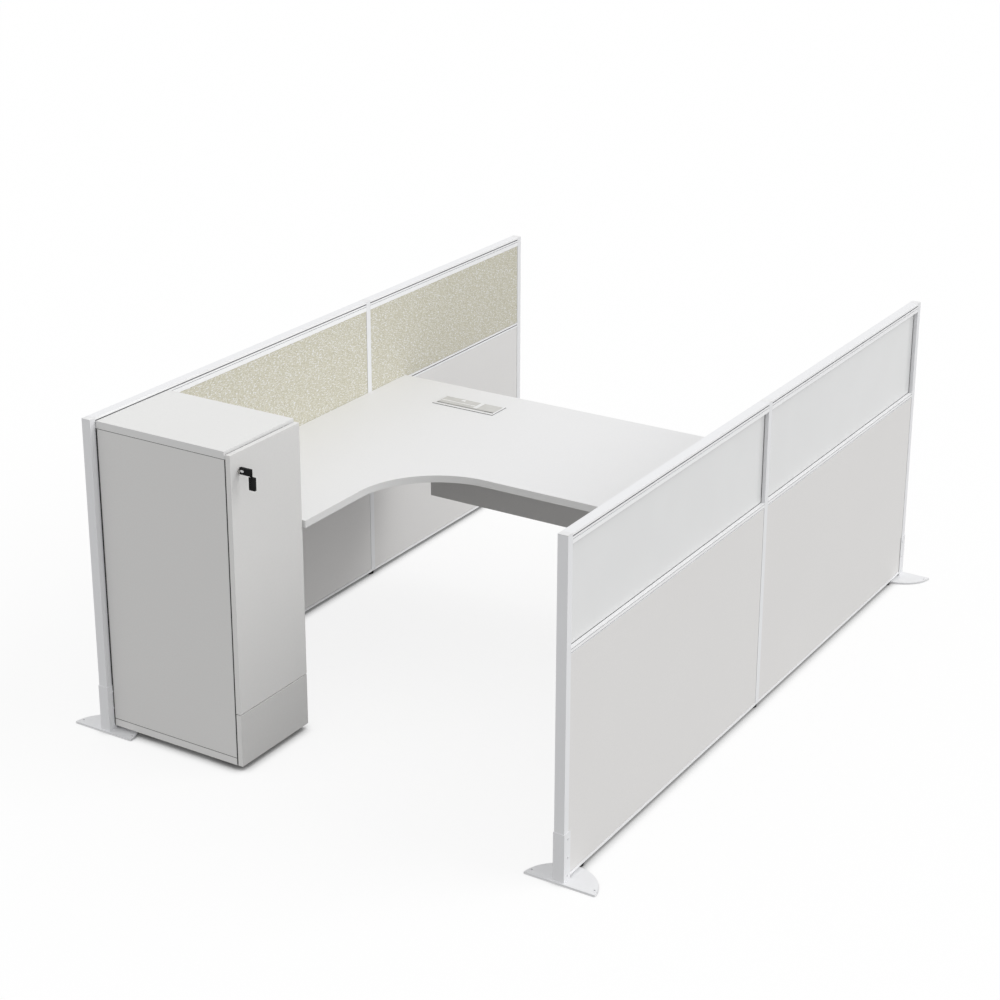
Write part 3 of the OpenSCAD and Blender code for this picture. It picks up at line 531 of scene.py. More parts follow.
FRAME_PAINT = PowderCoat("frame_powder_coat", "frame_paint", (0.86, 0.865, 0.88), 0.42)
# A lighter copy of the frame paint: painted highlight, so that the rails look lit.
LIT_RAIL_PAINT = PowderCoat("rail_coat_painted_highlight", "frame_paint", (0.95, 0.952, 0.96), 0.42)
CAP_WHITE = Moulded("white_cap", "white_plastic", (0.85, 0.85, 0.855), 0.45)
CUP_WHITE = Moulded("white_cup", "white_plastic", (0.95, 0.95, 0.95), 0.35)
CLOTH = Felt("heathered_felt", "pin_cloth", (0.648, 0.626, 0.51), 0.86)
GREY_TILE = Laminate("warm_grey_tile", "grey_laminate", (0.80, 0.79, 0.78), 0.5)
OPAL = OpalPane("opal_glass", "opal_pane", (0.80, 0.805, 0.805), 0.22)
WHITE_BOARD = Laminate("white_melamine", "white_board", (0.80, 0.80, 0.79), 0.45)
DESK_BOARD = Laminate("desk_melamine", "white_board", (0.845, 0.845, 0.85), 0.45)
WHITE_BAND = EdgeBand("white_edge_band", "white_board", (0.79, 0.79, 0.785), 0.4)
LOCKER_BOARD = Laminate("locker_melamine", "locker_board", (0.78, 0.775, 0.765), 0.48)
LOCKER_BAND = EdgeBand("locker_edge_band", "locker_board", (0.80, 0.795, 0.785), 0.4)
# A darker copy of the locker board: painted shade on the drawer front, which sits low in the bay.
SHADED_DRAWER_BOARD = Laminate("drawer_melamine_painted_shade", "locker_board", (0.69, 0.685, 0.675), 0.48)
# Darker than the white board: painted shade on the panel deep under the worktop.
SHADED_PANEL_BOARD = Laminate("panel_melamine_painted_shade", "panel_board", (0.525, 0.518, 0.51), 0.5)
PANEL_BAND = EdgeBand("panel_edge_band", "panel_board", (0.66, 0.65, 0.64), 0.45)
STEEL = Metal("zinc_plate", "bare_steel", (0.56, 0.57, 0.58), 0.36)
CHROME = Metal("nickel_plate", "bright_metal", (0.78, 0.77, 0.75), 0.18)
BLACK = Moulded(
    "black_moulding", "black_plastic", (0.006, 0.006, 0.0065), 0.5, depth=0.02 * MM, gloss=0.12
)
GREY = Moulded("grey_moulding", "grey_plastic", (0.55, 0.55, 0.55), 0.45)
BRISTLE = Moulded("grey_bristle", "grey_plastic", (0.2, 0.2, 0.2), 0.6, gloss=0.2)
RUBBER = Moulded("seal_rubber", "gasket_rubber", (0.045, 0.045, 0.047), 0.7, 900.0, gloss=0.3)
# Dark rubber in the rails' grooves, which also stands for the grooves' shade: painted shade.
LINING_AND_SHADE = Moulded("groove_lining_and_shade", "gasket_rubber", (0.13, 0.13, 0.135), 0.7, 900.0, gloss=0.3)
LID = Metal("brushed_lid", "lid_metal", (0.68, 0.675, 0.655), 0.5, Axis.X, 0.03 * MM, 0.35)


# Making pieces


class Workshop:
    """Turns meshes into dressed pieces that ride on the frame's bodies."""

    def __init__(self, frame: dict[str, Any]) -> None:
        """Notes which body each node rides on.

        Args:
            frame: The loaded frame.
        """
        self.nodes = frame["nodes"]
        self.home = {
            node: body
            for body, nodes in frame["record"]["behaviour"]["bodies"].items()
            for node in nodes
        }

    def copy_of(self, node: str) -> Mesh:
        """Returns a node's mesh, welded, with its flat faces made whole.

        Args:
            node: The node's name.

        Returns:
            A new bmesh.
        """
        bm = bmesh.new()
        bm.from_mesh(self.nodes[node].data)
        bmesh.ops.remove_doubles(bm, verts=bm.verts, dist=WELD)
        bmesh.ops.dissolve_limit(bm, angle_limit=FLAT_ANGLE, verts=bm.verts, edges=bm.edges)
        return bm

    def keep(
        self,
        bm: Mesh,
        name: str,
        finishes: Sequence[Finish],
        body: str,
        replaces: Iterable[str] = (),
    ) -> None:
        """Makes a piece of a mesh and hangs it on a body.

        Args:
            bm: The mesh, which is freed.
            name: The piece's name.
            finishes: Its finishes, in the order of its faces' material numbers.
            body: The body it rides on.
            replaces: The nodes that it stands for.
        """
        bm.normal_update()
        for face in bm.faces:
            face.smooth = True
        for edge in bm.edges:
            edge.smooth = edge.is_manifold and edge.calc_face_angle(0.0) < CREASE_ANGLE
        mesh = bpy.data.meshes.new(name)
        bm.to_mesh(mesh)
        bm.free()
        piece = bpy.data.objects.new(name, mesh)
        bpy.context.scene.collection.objects.link(piece)
        for finish in finishes:
            mesh.materials.append(finish.material())
        normals = piece.modifiers.new("even_normals", "WEIGHTED_NORMAL")
        normals.keep_sharp = True
        normals.weight = 100
        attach(piece, body)
        for node in replaces:
            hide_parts(node)
        LOG.info("%s: %d faces on %s", name, len(mesh.polygons), body)

    def soften(
        self,
        node: str,
        finishes: Sequence[Finish],
        edge: float,
        segments: int = 2,
        detail: Detail | None = None,
    ) -> None:
        """Stands a copy with rounded edges in for a node.

        Args:
            node: The node's name.
            finishes: The finishes of the copy.
            edge: The radius of its edges.
            segments: The number of faces across an edge.
            detail: Adds detail to the copy, or sets its faces' material numbers.
        """
        bm = self.copy_of(node)
        round_edges(bm, edge, segments)
        if detail is not None:
            bm.normal_update()
            detail(bm)
        self.keep(bm, f"{node}_finished", finishes, self.home[node], [node])

    def bars(
        self, name: str, finish: Finish, near: str, spans: Iterable[Span], edge: float
    ) -> None:
        """Makes a piece of bars with rounded edges.

        Args:
            name: The piece's name.
            finish: Its finish.
            near: A node on the body that the piece rides on.
            spans: The lowest and highest corner of each bar.
            edge: The radius of the edges.
        """
        bm = bmesh.new()
        for low, high in spans:
            add_bar(bm, low, high, edge)
        self.keep(bm, name, [finish], self.home[near])


def islands(bm: Mesh) -> list[list[bmesh.types.BMFace]]:
    """Returns the faces of each separate solid of a mesh."""
    left = dict.fromkeys(bm.faces)
    groups = []
    while left:
        group = []
        todo = [left.popitem()[0]]
        while todo:
            face = todo.pop()
            group.append(face)
            for edge in face.edges:
                for other in edge.link_faces:
                    if other in left:
                        del left[other]
                        todo.append(other)
        groups.append(group)
    return groups


def bevel(bm: Mesh, edges: Iterable[bmesh.types.BMEdge], radius: float, segments: int) -> None:
    """Rounds edges of a mesh.

    Args:
        bm: The mesh.
        edges: The edges.
        radius: The radius, which is less where an edge has no room for it.
        segments: The number of faces across an edge.
    """
    bmesh.ops.bevel(
        bm,
        geom=list(edges),
        offset=radius,
        offset_type="OFFSET",
        segments=segments,
        profile=0.5,
        affect="EDGES",
        clamp_overlap=True,
        material=-1,
    )


def round_edges(bm: Mesh, radius: float, segments: int = 2) -> None:
    """Rounds the outer edges of each solid of a mesh.

    Args:
        bm: The mesh.
        radius: The radius, which is less where an edge has no room for it.
        segments: The number of faces across an edge.
    """
    for group in islands(bm):
        edges = dict.fromkeys(
            edge
            for face in group
            for edge in face.edges
            if edge.is_manifold and edge.is_convex and edge.calc_face_angle(0.0) > EDGE_ANGLE
        )
        bevel(bm, edges, radius, segments)


def add_bar(bm: Mesh, low: Vector, high: Vector, edge: float) -> None:
    """Adds a bar with rounded edges.

    Args:
        bm: The mesh.
        low: The bar's lowest corner.
        high: Its highest corner.
        edge: The radius of its edges.
    """
    verts = bmesh.ops.create_cube(bm, size=1.0)["verts"]
    bmesh.ops.scale(bm, verts=verts, vec=high - low)
    bmesh.ops.translate(bm, verts=verts, vec=(low + high) / 2)
    bevel(bm, dict.fromkeys(side for vert in verts for side in vert.link_edges), edge, 2)


class Recess(Enum):
    """The outline of the recess that a screw is driven by. The value is its number of corners."""

    HEX = 6
    CROSS = 4

    def reach(self, angle: float, size: float) -> float:
        """Returns how far the outline lies from its middle.

        Args:
            angle: The direction.
            size: Half the width across flats, or the length of an arm of the cross.

        Returns:
            The distance.
        """
        sector = math.tau / self.value
        off = abs(angle % sector - sector / 2)
        if self is Recess.HEX:
            return size / math.cos(off)
        fold = sector / 2 - off
        arm = CROSS_ARM * size
        return size / math.cos(fold) if size * math.tan(fold) < arm else arm / math.sin(fold)


def press(
    bm: Mesh,
    face: bmesh.types.BMFace,
    rim: float,
    depth: float,
    recess: Recess | None = None,
    size: float = 0.0,
) -> None:
    """Presses a recess into a face.

    Args:
        bm: The mesh.
        face: The face, which becomes the recess's floor.
        rim: How far the recess lies in from the face's edge.
        depth: How deep it is.
        recess: The recess's outline, if it isn't the face's own.
        size: The size of that outline.
    """
    bmesh.ops.inset_individual(bm, faces=[face], thickness=rim, use_even_offset=True)
    if recess is not None:
        middle = face.calc_center_median()
        across = (face.verts[0].co - middle).normalized()
        along = face.normal.cross(across)
        for vert in face.verts:
            arm = vert.co - middle
            angle = math.atan2(arm.dot(along), arm.dot(across))
            reach = recess.reach(angle, size)
            vert.co = middle + (across * math.cos(angle) + along * math.sin(angle)) * reach
    bmesh.ops.inset_individual(bm, faces=[face], thickness=HAIR, depth=-depth, use_even_offset=True)


def driven(recess: Recess, size: float, depth: float, least: float) -> Detail:
    """Returns a detail that presses a driver's recess into every screw head.

    Args:
        recess: The recess's outline.
        size: Its size.
        depth: Its depth.
        least: The least radius of a head.

    Returns:
        The detail.
    """

    def detail(bm: Mesh) -> None:
        """Presses the recess into each round face of a head."""
        heads = []
        for face in bm.faces:
            middle = face.calc_center_median()
            arms = [(vert.co - middle).length for vert in face.verts]
            is_round = len(arms) > HEAD_CORNERS and max(arms) < HEAD_ROUND * min(arms)
            if is_round and least < min(arms):
                heads.append(face)
        for head in heads:
            press(bm, head, HEAD_RIM, depth, recess, size)

    return detail


def banded(axis: Axis) -> Detail:
    """Returns a marker that gives material 1 to the faces round a board's edge.

    Args:
        axis: The direction of the board's thickness.

    Returns:
        The marker.
    """

    def mark(bm: Mesh) -> None:
        """Marks every face that doesn't look along the thickness."""
        for face in bm.faces:
            face.material_index = 0 if abs(face.normal[axis.value]) > BROAD else 1

    return mark


# Sub-assemblies


@dataclass
class ScreenWalls:
    """The two walls: posts, rails, pinboards, tiles and panes."""

    shop: Workshop
    frame_edge: float = 0.8 * MM
    tile_edge: float = 0.5 * MM
    tile_gap: float = 1.0 * MM
    lining_in: float = 1.2 * MM
    lining_slip: float = 0.1 * MM
    top_grooves: tuple[Groove, ...] = (
        (-12.0 * MM, 4.0 * MM, 7.0 * MM),
        (-20.0 * MM, 1.5 * MM, 2.5 * MM),
    )
    mid_grooves: tuple[Groove, ...] = ((7.0 * MM, 4.0 * MM, 7.0 * MM),)
    bead_grooves: tuple[Groove, ...] = (
        (2.5 * MM, 2.0 * MM, 4.0 * MM),
        (13.5 * MM, 2.0 * MM, 4.0 * MM),
    )

    def _lining(
        self, name: str, rails: str, tiles: Sequence[str], grooves: Sequence[Groove], base: float
    ) -> None:
        """Lays a dark lining into both faces' grooves of a wall's rails; it also darkens them as
        painted shade.

        Args:
            name: The piece's name.
            rails: The rails' node.
            tiles: The nodes whose ends show where the rails meet the posts.
            grooves: The rise over the base, the height and the depth of each groove.
            base: The height that the grooves are measured from.
        """
        low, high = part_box(rails)
        slip, inner = self.lining_slip, self.lining_in
        spans = []
        for tile in tiles:
            start, end = (corner.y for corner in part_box(tile))
            y0, y1 = start - self.tile_gap + slip, end + self.tile_gap - slip
            for rise, tall, deep in grooves:
                z0, z1 = base + rise + slip, base + rise + tall - slip
                outer = deep - slip
                spans.append((Vector((low.x + inner, y0, z0)), Vector((low.x + outer, y1, z1))))
                spans.append((Vector((high.x - outer, y0, z0)), Vector((high.x - inner, y1, z1))))
        self.shop.bars(name, LINING_AND_SHADE, rails, spans, 0.2 * MM)

    def _linings(self) -> None:
        """Lines the grooves of both walls' top and mid rails."""
        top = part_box("left_top_rails")[1].z
        sides = {"left": self.mid_grooves, "right": self.bead_grooves}
        for level in ("top", "mid"):
            for side, mid_grooves in sides.items():
                tiles = [f"{side}_tile_{end}" for end in ("near", "far")]
                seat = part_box(tiles[0])[1].z + self.tile_gap
                grooves, base = (self.top_grooves, top) if level == "top" else (mid_grooves, seat)
                name = f"{side}_{level}"
                self._lining(f"{name}_linings", f"{name}_rails", tiles, grooves, base)

    def build(self) -> None:
        """Builds and dresses every piece of the walls."""
        for node in ("left_posts", "right_posts"):
            self.shop.soften(node, [FRAME_PAINT], self.frame_edge)
        # The top rails' sides and the mid and bottom rails take the lighter copy of the frame
        # paint, a painted highlight.
        paints = [FRAME_PAINT, LIT_RAIL_PAINT]
        for node in ("left_top_rails", "right_top_rails"):
            self.shop.soften(node, paints, self.frame_edge, detail=banded(Axis.Z))
        for node in ("left_mid_rails", "right_mid_rails", "bottom_rails"):
            self.shop.soften(node, [LIT_RAIL_PAINT], self.frame_edge)
        self._linings()
        self.shop.soften("post_caps", [CAP_WHITE], 0.4 * MM)
        for node in (
            "left_tile_near", "left_tile_far", "left_back_tiles",
            "right_tile_near", "right_tile_far", "right_inner_tiles",
        ):
            self.shop.soften(node, [GREY_TILE], self.tile_edge)
        for node in ("pinboard_near", "pinboard_far", "left_back_boards"):
            self.shop.soften(node, [CLOTH], 2.0 * MM, 3)
        for node in ("pane_near", "pane_far"):
            self.shop.soften(node, [OPAL], 0.6 * MM)
        self.shop.soften("pane_gaskets", [RUBBER], 0.3 * MM)


@dataclass
class Feet:
    """The floor plates with their sleeves and screws, and the levelling glides."""

    shop: Workshop

    def build(self) -> None:
        """Builds and dresses every foot."""
        for node in ("left_feet", "right_feet"):
            self.shop.soften(node, [FRAME_PAINT], 0.8 * MM, 3)
        recess = driven(Recess.HEX, 1.5 * MM, 1.2 * MM, 3.0 * MM)
        self.shop.soften("foot_screws", [FRAME_PAINT], 0.8 * MM, 3, recess)
        for node in ("wall_glides", "locker_glides"):
            self.shop.soften(node, [BLACK], 0.8 * MM)


@dataclass
class Desk:
    """The worktop, what carries it, and the panel under it."""

    shop: Workshop

    def build(self) -> None:
        """Builds and dresses the desk."""
        self.shop.soften("worktop", [DESK_BOARD, WHITE_BAND], 1.5 * MM, 3, banded(Axis.Z))
        # The panel's darker board is painted shade under the worktop.
        boards = [SHADED_PANEL_BOARD, PANEL_BAND]
        self.shop.soften("modesty_panel", boards, 1.0 * MM, detail=banded(Axis.Y))
        self.shop.soften("worktop_brackets", [FRAME_PAINT], 0.6 * MM)
        self.shop.soften("modesty_angles", [STEEL], 0.4 * MM)
        recess = driven(Recess.CROSS, 2.0 * MM, 1.0 * MM, 3.0 * MM)
        self.shop.soften("fixing_screws", [CHROME], 0.3 * MM, detail=recess)


@dataclass
class CableBox:
    """The box let into the worktop, with its lids, rod, socket strip and cable brush."""

    shop: Workshop
    rib_back: float = 19.0 * MM
    rib_w: float = 5.0 * MM
    rib_h: float = 0.9 * MM
    rib_in: float = 2.0 * MM
    grip_x: float = 80.5 * MM
    grip_y: float = 47.5 * MM
    grip_r: float = 8.4 * MM
    grip_flat: float = 6.4 * MM
    grip_h: float = 4.6 * MM
    grip_rim: float = 0.5 * MM
    grip_sink: float = 0.5 * MM
    grip_square: float = 1.42
    slot_near: float = 16.0 * MM
    slot_w: float = 6.0 * MM
    slot_l: float = 244.0 * MM
    slot_in: float = 8.0 * MM
    trim_gap: float = 0.2 * MM
    trim_w: float = 4.8 * MM
    trim_h: float = 0.4 * MM
    flap_gap: float = 0.6 * MM
    flap_slip: float = 0.1 * MM
    flap_down: float = 1.2 * MM
    flap_top: float = 0.3 * MM
    brush_start: float = 15.0 * MM
    brush_l: float = 196.0 * MM
    brush_down: float = 0.9 * MM
    tuft_pitch: float = 1.3 * MM
    tuft_r: float = 0.55 * MM
    tuft_taper: float = 0.55
    tuft_l: float = 3.1 * MM
    tuft_sway: float = 0.16
    tuft_lift: float = 0.1 * MM
    golden_angle: float = 2.39996
    rim_shade_out: float = 0.8 * MM
    rim_shade_slip: float = 0.05 * MM
    rim_shade_h: float = 1.5 * MM

    def _rib(self) -> None:
        """Makes the white rib along the long lid."""
        low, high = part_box("long_lid")
        y = low.y + self.rib_back
        start = Vector((low.x + self.rib_in, y - self.rib_w / 2, high.z + HAIR))
        end = Vector((high.x - self.rib_in, y + self.rib_w / 2, high.z + self.rib_h))
        self.shop.bars("lid_rib", CUP_WHITE, "long_lid", [(start, end)], self.rib_h * 0.45)

    def _slot(self) -> None:
        """Makes the trims beside the cable slot, and the rubber flaps at its ends."""
        low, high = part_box("cable_box")
        left, right = low.x + self.slot_in, low.x + self.slot_in + self.slot_l
        near = low.y + self.slot_near
        far = near + self.slot_w
        gap, wide = self.trim_gap, self.trim_w
        z0, z1 = high.z + HAIR, high.z + self.trim_h
        rows = ((near - gap - wide, near - gap), (far + gap, far + gap + wide))
        spans = [(Vector((left, y0, z0)), Vector((right, y1, z1))) for y0, y1 in rows]
        self.shop.bars("slot_trims", LID, "cable_box", spans, 0.15 * MM)
        start = low.x + self.brush_start
        end = start + self.brush_l
        y0, y1 = near + self.flap_slip, far - self.flap_slip
        z0, z1 = high.z - self.flap_down, high.z - self.flap_top
        ends = ((left + gap, start - self.flap_gap), (end + self.flap_gap, right - gap))
        spans = [(Vector((x0, y0, z0)), Vector((x1, y1, z1))) for x0, x1 in ends]
        self.shop.bars("slot_flaps", RUBBER, "cable_box", spans, 0.2 * MM)

    def _seal(self) -> None:
        """Makes the dark strip round the rim, between it and the worktop: painted shade under the
        rim's edge.
        """
        low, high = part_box("cable_box")
        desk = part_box("worktop")[1].z
        z0, z1 = desk + HAIR, desk + self.rim_shade_h
        out, slip = self.rim_shade_out, self.rim_shade_slip
        sides = (
            ((low.x - out, low.y - out), (high.x + out, low.y - slip)),
            ((low.x - out, high.y + slip), (high.x + out, high.y + out)),
            ((low.x - out, low.y), (low.x - slip, high.y)),
            ((high.x + slip, low.y), (high.x + out, high.y)),
        )
        spans = [(Vector((*start, z0)), Vector((*end, z1))) for start, end in sides]
        # Painted shade: a dark strip where the rim's edge and the gap under it lie in shade.
        self.shop.bars("rim_painted_shade", RUBBER, "cable_box", spans, 0.15 * MM)

    def _finger_cup(self) -> None:
        """Makes the shallow white cup in the long lid's finger hole."""
        low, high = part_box("long_lid")
        middle = Vector((low.x + self.grip_x, low.y + self.grip_y, high.z - self.grip_h))
        square = self.grip_square / self.grip_r
        bm = bmesh.new()
        made = bmesh.ops.create_circle(bm, cap_ends=True, radius=self.grip_r, segments=40)
        for vert in made["verts"]:
            if vert.co.y < 0:
                vert.co.x = self.grip_r * max(-1.0, min(1.0, square * vert.co.x))
                vert.co.y = self.grip_flat * max(-1.0, square * vert.co.y)
        risen = bmesh.ops.extrude_face_region(bm, geom=bm.faces[:])["geom"]
        verts = [item for item in risen if isinstance(item, bmesh.types.BMVert)]
        bmesh.ops.translate(bm, verts=verts, vec=(0, 0, self.grip_h))
        bmesh.ops.recalc_face_normals(bm, faces=bm.faces)
        bmesh.ops.translate(bm, verts=bm.verts, vec=middle)
        top = max(bm.faces, key=lambda face: face.calc_center_median().z)
        press(bm, top, self.grip_rim, self.grip_sink)
        self.shop.keep(bm, "finger_cup", [CUP_WHITE], self.shop.home["long_lid"])

    def _brush(self) -> None:
        """Makes the two rows of bristles that close the cable slot."""
        low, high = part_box("cable_box")
        middle = low.y + self.slot_near + self.slot_w / 2
        bm = bmesh.new()
        for i in range(int(self.brush_l / self.tuft_pitch)):
            z = high.z - self.brush_down + math.sin(i * 1.7) * self.tuft_lift
            for side in (-1, 1):
                sway = math.sin(i * self.golden_angle + side) * self.tuft_sway
                x = low.x + self.brush_start + (i + 0.25 * side) * self.tuft_pitch
                place = Matrix.Translation((x, middle + side * self.tuft_l / 2, z))
                place @= Matrix.Rotation(sway, 4, "Z")
                place @= Matrix.Rotation(math.radians(90 * side), 4, "X")
                bmesh.ops.create_cone(
                    bm,
                    cap_ends=True,
                    segments=5,
                    radius1=self.tuft_r * self.tuft_taper,
                    radius2=self.tuft_r,
                    depth=self.tuft_l,
                    matrix=place,
                )
        bmesh.ops.recalc_face_normals(bm, faces=bm.faces)
        self.shop.keep(bm, "cable_brush", [BRISTLE], self.shop.home["cable_box"])

    def build(self) -> None:
        """Builds and dresses the cable box."""
        self.shop.soften("cable_box", [CAP_WHITE], 0.5 * MM, 3)
        for node in ("long_lid", "short_lid"):
            self.shop.soften(node, [LID], 0.5 * MM)
        self.shop.soften("lid_rod", [STEEL], 0.1 * MM)
        self.shop.soften("socket_strip", [GREY], 0.6 * MM)
        self._rib()
        self._slot()
        self._seal()
        self._finger_cup()
        self._brush()


@dataclass
class Locker:
    """The tall locker: its boards, door, drawer and what they move on."""

    shop: Workshop
    seal_in: float = 0.6 * MM
    seal_w: float = 3.0 * MM
    seal_t: float = 3.2 * MM
    wall_gap: float = 0.2 * MM
    sleeve_top: float = 166.0 * MM
    sleeve_t: float = 2.0 * MM
    lip_t: float = 1.6 * MM
    lip_in: float = 2.2 * MM
    nose_t: float = 3.2 * MM
    nose_w: float = 3.6 * MM
    nose_h: float = 13.5 * MM
    reveal_h: float = 1.4 * MM
    reveal_out: float = 0.3 * MM
    strip_down: float = 1.2 * MM
    strip_h: float = 3.0 * MM
    nose_short: float = 28.0 * MM

    def _seals(self) -> None:
        """Makes the dust seal before the near side, and the seal between locker and wall, whose lip
        over the near side's edge is painted shade of the gap.
        """
        low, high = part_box("locker_side_near")
        foot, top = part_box("locker_base")[0].z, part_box("locker_top")[0].z
        near = low.y + self.seal_in
        start = Vector((high.x, near, foot + self.seal_w))
        end = Vector((high.x + self.seal_t, near + self.seal_w, top - self.wall_gap))
        self.shop.bars("front_seal", RUBBER, "locker_side_near", [(start, end)], 0.5 * MM)
        gap, sleeve = self.wall_gap, self.sleeve_top
        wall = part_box("left_posts")[1].x + gap
        lip, inside = low.y - gap, low.x + self.lip_in
        # The lip over the near side's edge stands for the gap's shade: painted shade.
        lip_near = lip - self.lip_t
        spans = (
            ((wall, near, sleeve), (low.x - gap, near + self.seal_w, top)),
            ((wall, lip_near, sleeve), (inside, lip, top)),
            ((wall + self.sleeve_t, lip_near, foot), (inside, lip, sleeve)),
        )
        pairs = [(Vector(start), Vector(end)) for start, end in spans]
        self.shop.bars("wall_seal_and_shade", RUBBER, "locker_side_near", pairs, 0.1 * MM)

    def _nose(self) -> None:
        """Makes the seal on the top board's front, its white end, and the wall's strip."""
        low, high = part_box("locker_top")
        start = Vector((high.x, low.y, low.z))
        end = Vector((high.x + self.nose_t, low.y + self.nose_w, low.z + self.nose_h))
        self.shop.bars("top_nose", WHITE_BAND, "locker_top", [(start, end)], 0.5 * MM)
        start.y = end.y + self.wall_gap
        end.y = high.y - self.nose_short
        self.shop.bars("top_seal", RUBBER, "locker_top", [(start, end)], 0.3 * MM)
        level = high.z - self.strip_down
        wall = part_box("left_posts")[1].x
        start = Vector((wall + self.wall_gap, low.y, level - self.strip_h))
        end = Vector((low.x - self.wall_gap, high.y, level))
        self.shop.bars("wall_strip", GREY, "locker_top", [(start, end)], 0.3 * MM)

    def _reveals(self) -> None:
        """Makes the dark lines over and under the near side: painted shade in its joints."""
        low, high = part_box("locker_side_near")
        near, far = low.y - self.reveal_out, low.y + self.reveal_out
        spans = [
            (Vector((low.x, near, z)), Vector((high.x, far, z + self.reveal_h)))
            for z in (low.z, high.z - self.reveal_h)
        ]
        # Dark rubber bars in the joints: painted shade.
        self.shop.bars("joint_painted_shade", RUBBER, "locker_side_near", spans, 0.1 * MM)

    def build(self) -> None:
        """Builds and dresses the locker."""
        self._seals()
        self._nose()
        self._reveals()
        self.shop.soften("locker_top", [WHITE_BOARD, WHITE_BAND], 1.0 * MM, 3, banded(Axis.Z))
        boards = [LOCKER_BOARD, LOCKER_BAND]
        for axis, segments, nodes in (
            (Axis.Z, 2, ("locker_base", "divider_board", "shelves", "drawer_bottom")),
            (Axis.Y, 2, ("locker_side_near", "locker_side_far")),
            (Axis.X, 3, ("locker_back", "locker_door")),
        ):
            for node in nodes:
                self.shop.soften(node, boards, 0.8 * MM, segments, banded(axis))
        # The drawer front takes the darker copy of the locker board, a painted shade.
        self.shop.soften("drawer_front", [SHADED_DRAWER_BOARD, LOCKER_BAND], 0.8 * MM, 3, banded(Axis.X))
        self.shop.soften("drawer_box", [LOCKER_BOARD], 0.6 * MM)
        self.shop.soften("shelf_pins", [CHROME], 0.3 * MM)
        self.shop.soften("front_bumpers", [RUBBER], 0.5 * MM)
        for node in ("hinge_arms", "lock_keeper", "runner_fixed", "runner_middle", "runner_moving"):
            self.shop.soften(node, [STEEL], 0.3 * MM)
        self.shop.soften("hinge_bushes", [GREY], 0.2 * MM)


@dataclass
class LockAndKey:
    """The cam lock in the door and the key in it, with its folding grip."""

    shop: Workshop
    blade_out: float = 3.0 * MM
    stud_x: float = 13.0 * MM
    stud_r: float = 7.0 * MM
    stud_z: float = 4.0 * MM
    stud_taper: float = 0.85
    stud_tall: float = 0.62
    stud_h: float = 0.5 * MM
    stud_out: float = 0.2 * MM
    stud_edge: float = 0.2 * MM
    panel_rim: float = 3.0 * MM
    panel_sink: float = 0.5 * MM
    panel_least: float = 500.0 * MM * MM
    panel_facing: float = 0.99

    def _blade(self, bm: Mesh) -> None:
        """Gives the key's blade and collar its metal."""
        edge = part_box("lock_cylinder")[1].x + self.blade_out
        for face in bm.faces:
            face.material_index = 1 if face.calc_center_median().x < edge else 0

    def _panels(self, bm: Mesh) -> None:
        """Presses a shallow panel into both broad faces of the grip."""
        broad = [
            face
            for face in bm.faces
            if abs(face.normal.y) > self.panel_facing and face.calc_area() > self.panel_least
        ]
        for face in broad:
            press(bm, face, self.panel_rim, self.panel_sink)

    def _stud(self) -> None:
        """Makes the oval stud on the near side of the key's head, white as a painted highlight on
        its metal.
        """
        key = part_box("key")[0]
        low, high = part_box("lock_cylinder")
        bm = bmesh.new()
        bmesh.ops.create_cone(
            bm,
            cap_ends=True,
            segments=32,
            radius1=self.stud_r,
            radius2=self.stud_r * self.stud_taper,
            depth=self.stud_h,
        )
        rim = [edge for edge in bm.edges if all(vert.co.z > 0 for vert in edge.verts)]
        bevel(bm, rim, self.stud_edge, 2)
        bmesh.ops.scale(bm, verts=bm.verts, vec=(1.0, self.stud_tall, 1.0))
        bmesh.ops.rotate(bm, verts=bm.verts, matrix=Matrix.Rotation(math.radians(90), 3, "X"))
        z = (low.z + high.z) / 2 + self.stud_z
        place = Vector((high.x + self.stud_x, key.y - self.stud_out, z))
        bmesh.ops.translate(bm, verts=bm.verts, vec=place)
        # White plastic in place of metal: painted highlight.
        self.shop.keep(bm, "key_stud_painted_highlight", [CAP_WHITE], self.shop.home["key"])

    def build(self) -> None:
        """Builds and dresses the lock and the key."""
        for node in ("lock_cylinder", "lock_plug", "lock_cam"):
            self.shop.soften(node, [CHROME], 0.3 * MM)
        self.shop.soften("key", [BLACK, CHROME], 0.6 * MM, 3, self._blade)
        self.shop.soften("key_grip", [BLACK], 0.6 * MM, 3, self._panels)
        self._stud()


# Stage


@dataclass(frozen=True)
class Viewpoint:
    """The photograph's camera: where it stands, how it turns, and its lens."""

    place: tuple[float, float, float] = (3.57268, -5.99292, 3.40928)
    azimuth: float = 31.7986
    elevation: float = 19.5125
    roll: float = 0.14
    lens: float = 77.277
    sensor: float = 36.0
    shift: float = -0.10

    def build(self) -> None:
        """Makes the camera and gives it to the scene."""
        turn, tilt, roll = (math.radians(a) for a in (self.azimuth, self.elevation, self.roll))
        level = Vector((math.cos(turn), math.sin(turn), 0.0))
        ahead = Vector((-level.y, level.x, 0.0)) * math.cos(tilt)
        ahead.z = -math.sin(tilt)
        upright = level.cross(ahead)
        right = math.cos(roll) * level + math.sin(roll) * upright
        top = math.cos(roll) * upright - math.sin(roll) * level
        data = bpy.data.cameras.new("viewpoint")
        data.lens = self.lens
        data.sensor_width = self.sensor
        data.shift_y = self.shift
        camera = bpy.data.objects.new("viewpoint", data)
        bpy.context.scene.collection.objects.link(camera)
        axes = Matrix((right, top, -ahead)).transposed()
        camera.matrix_world = Matrix.Translation(self.place) @ axes.to_4x4()
        bpy.context.scene.camera = camera


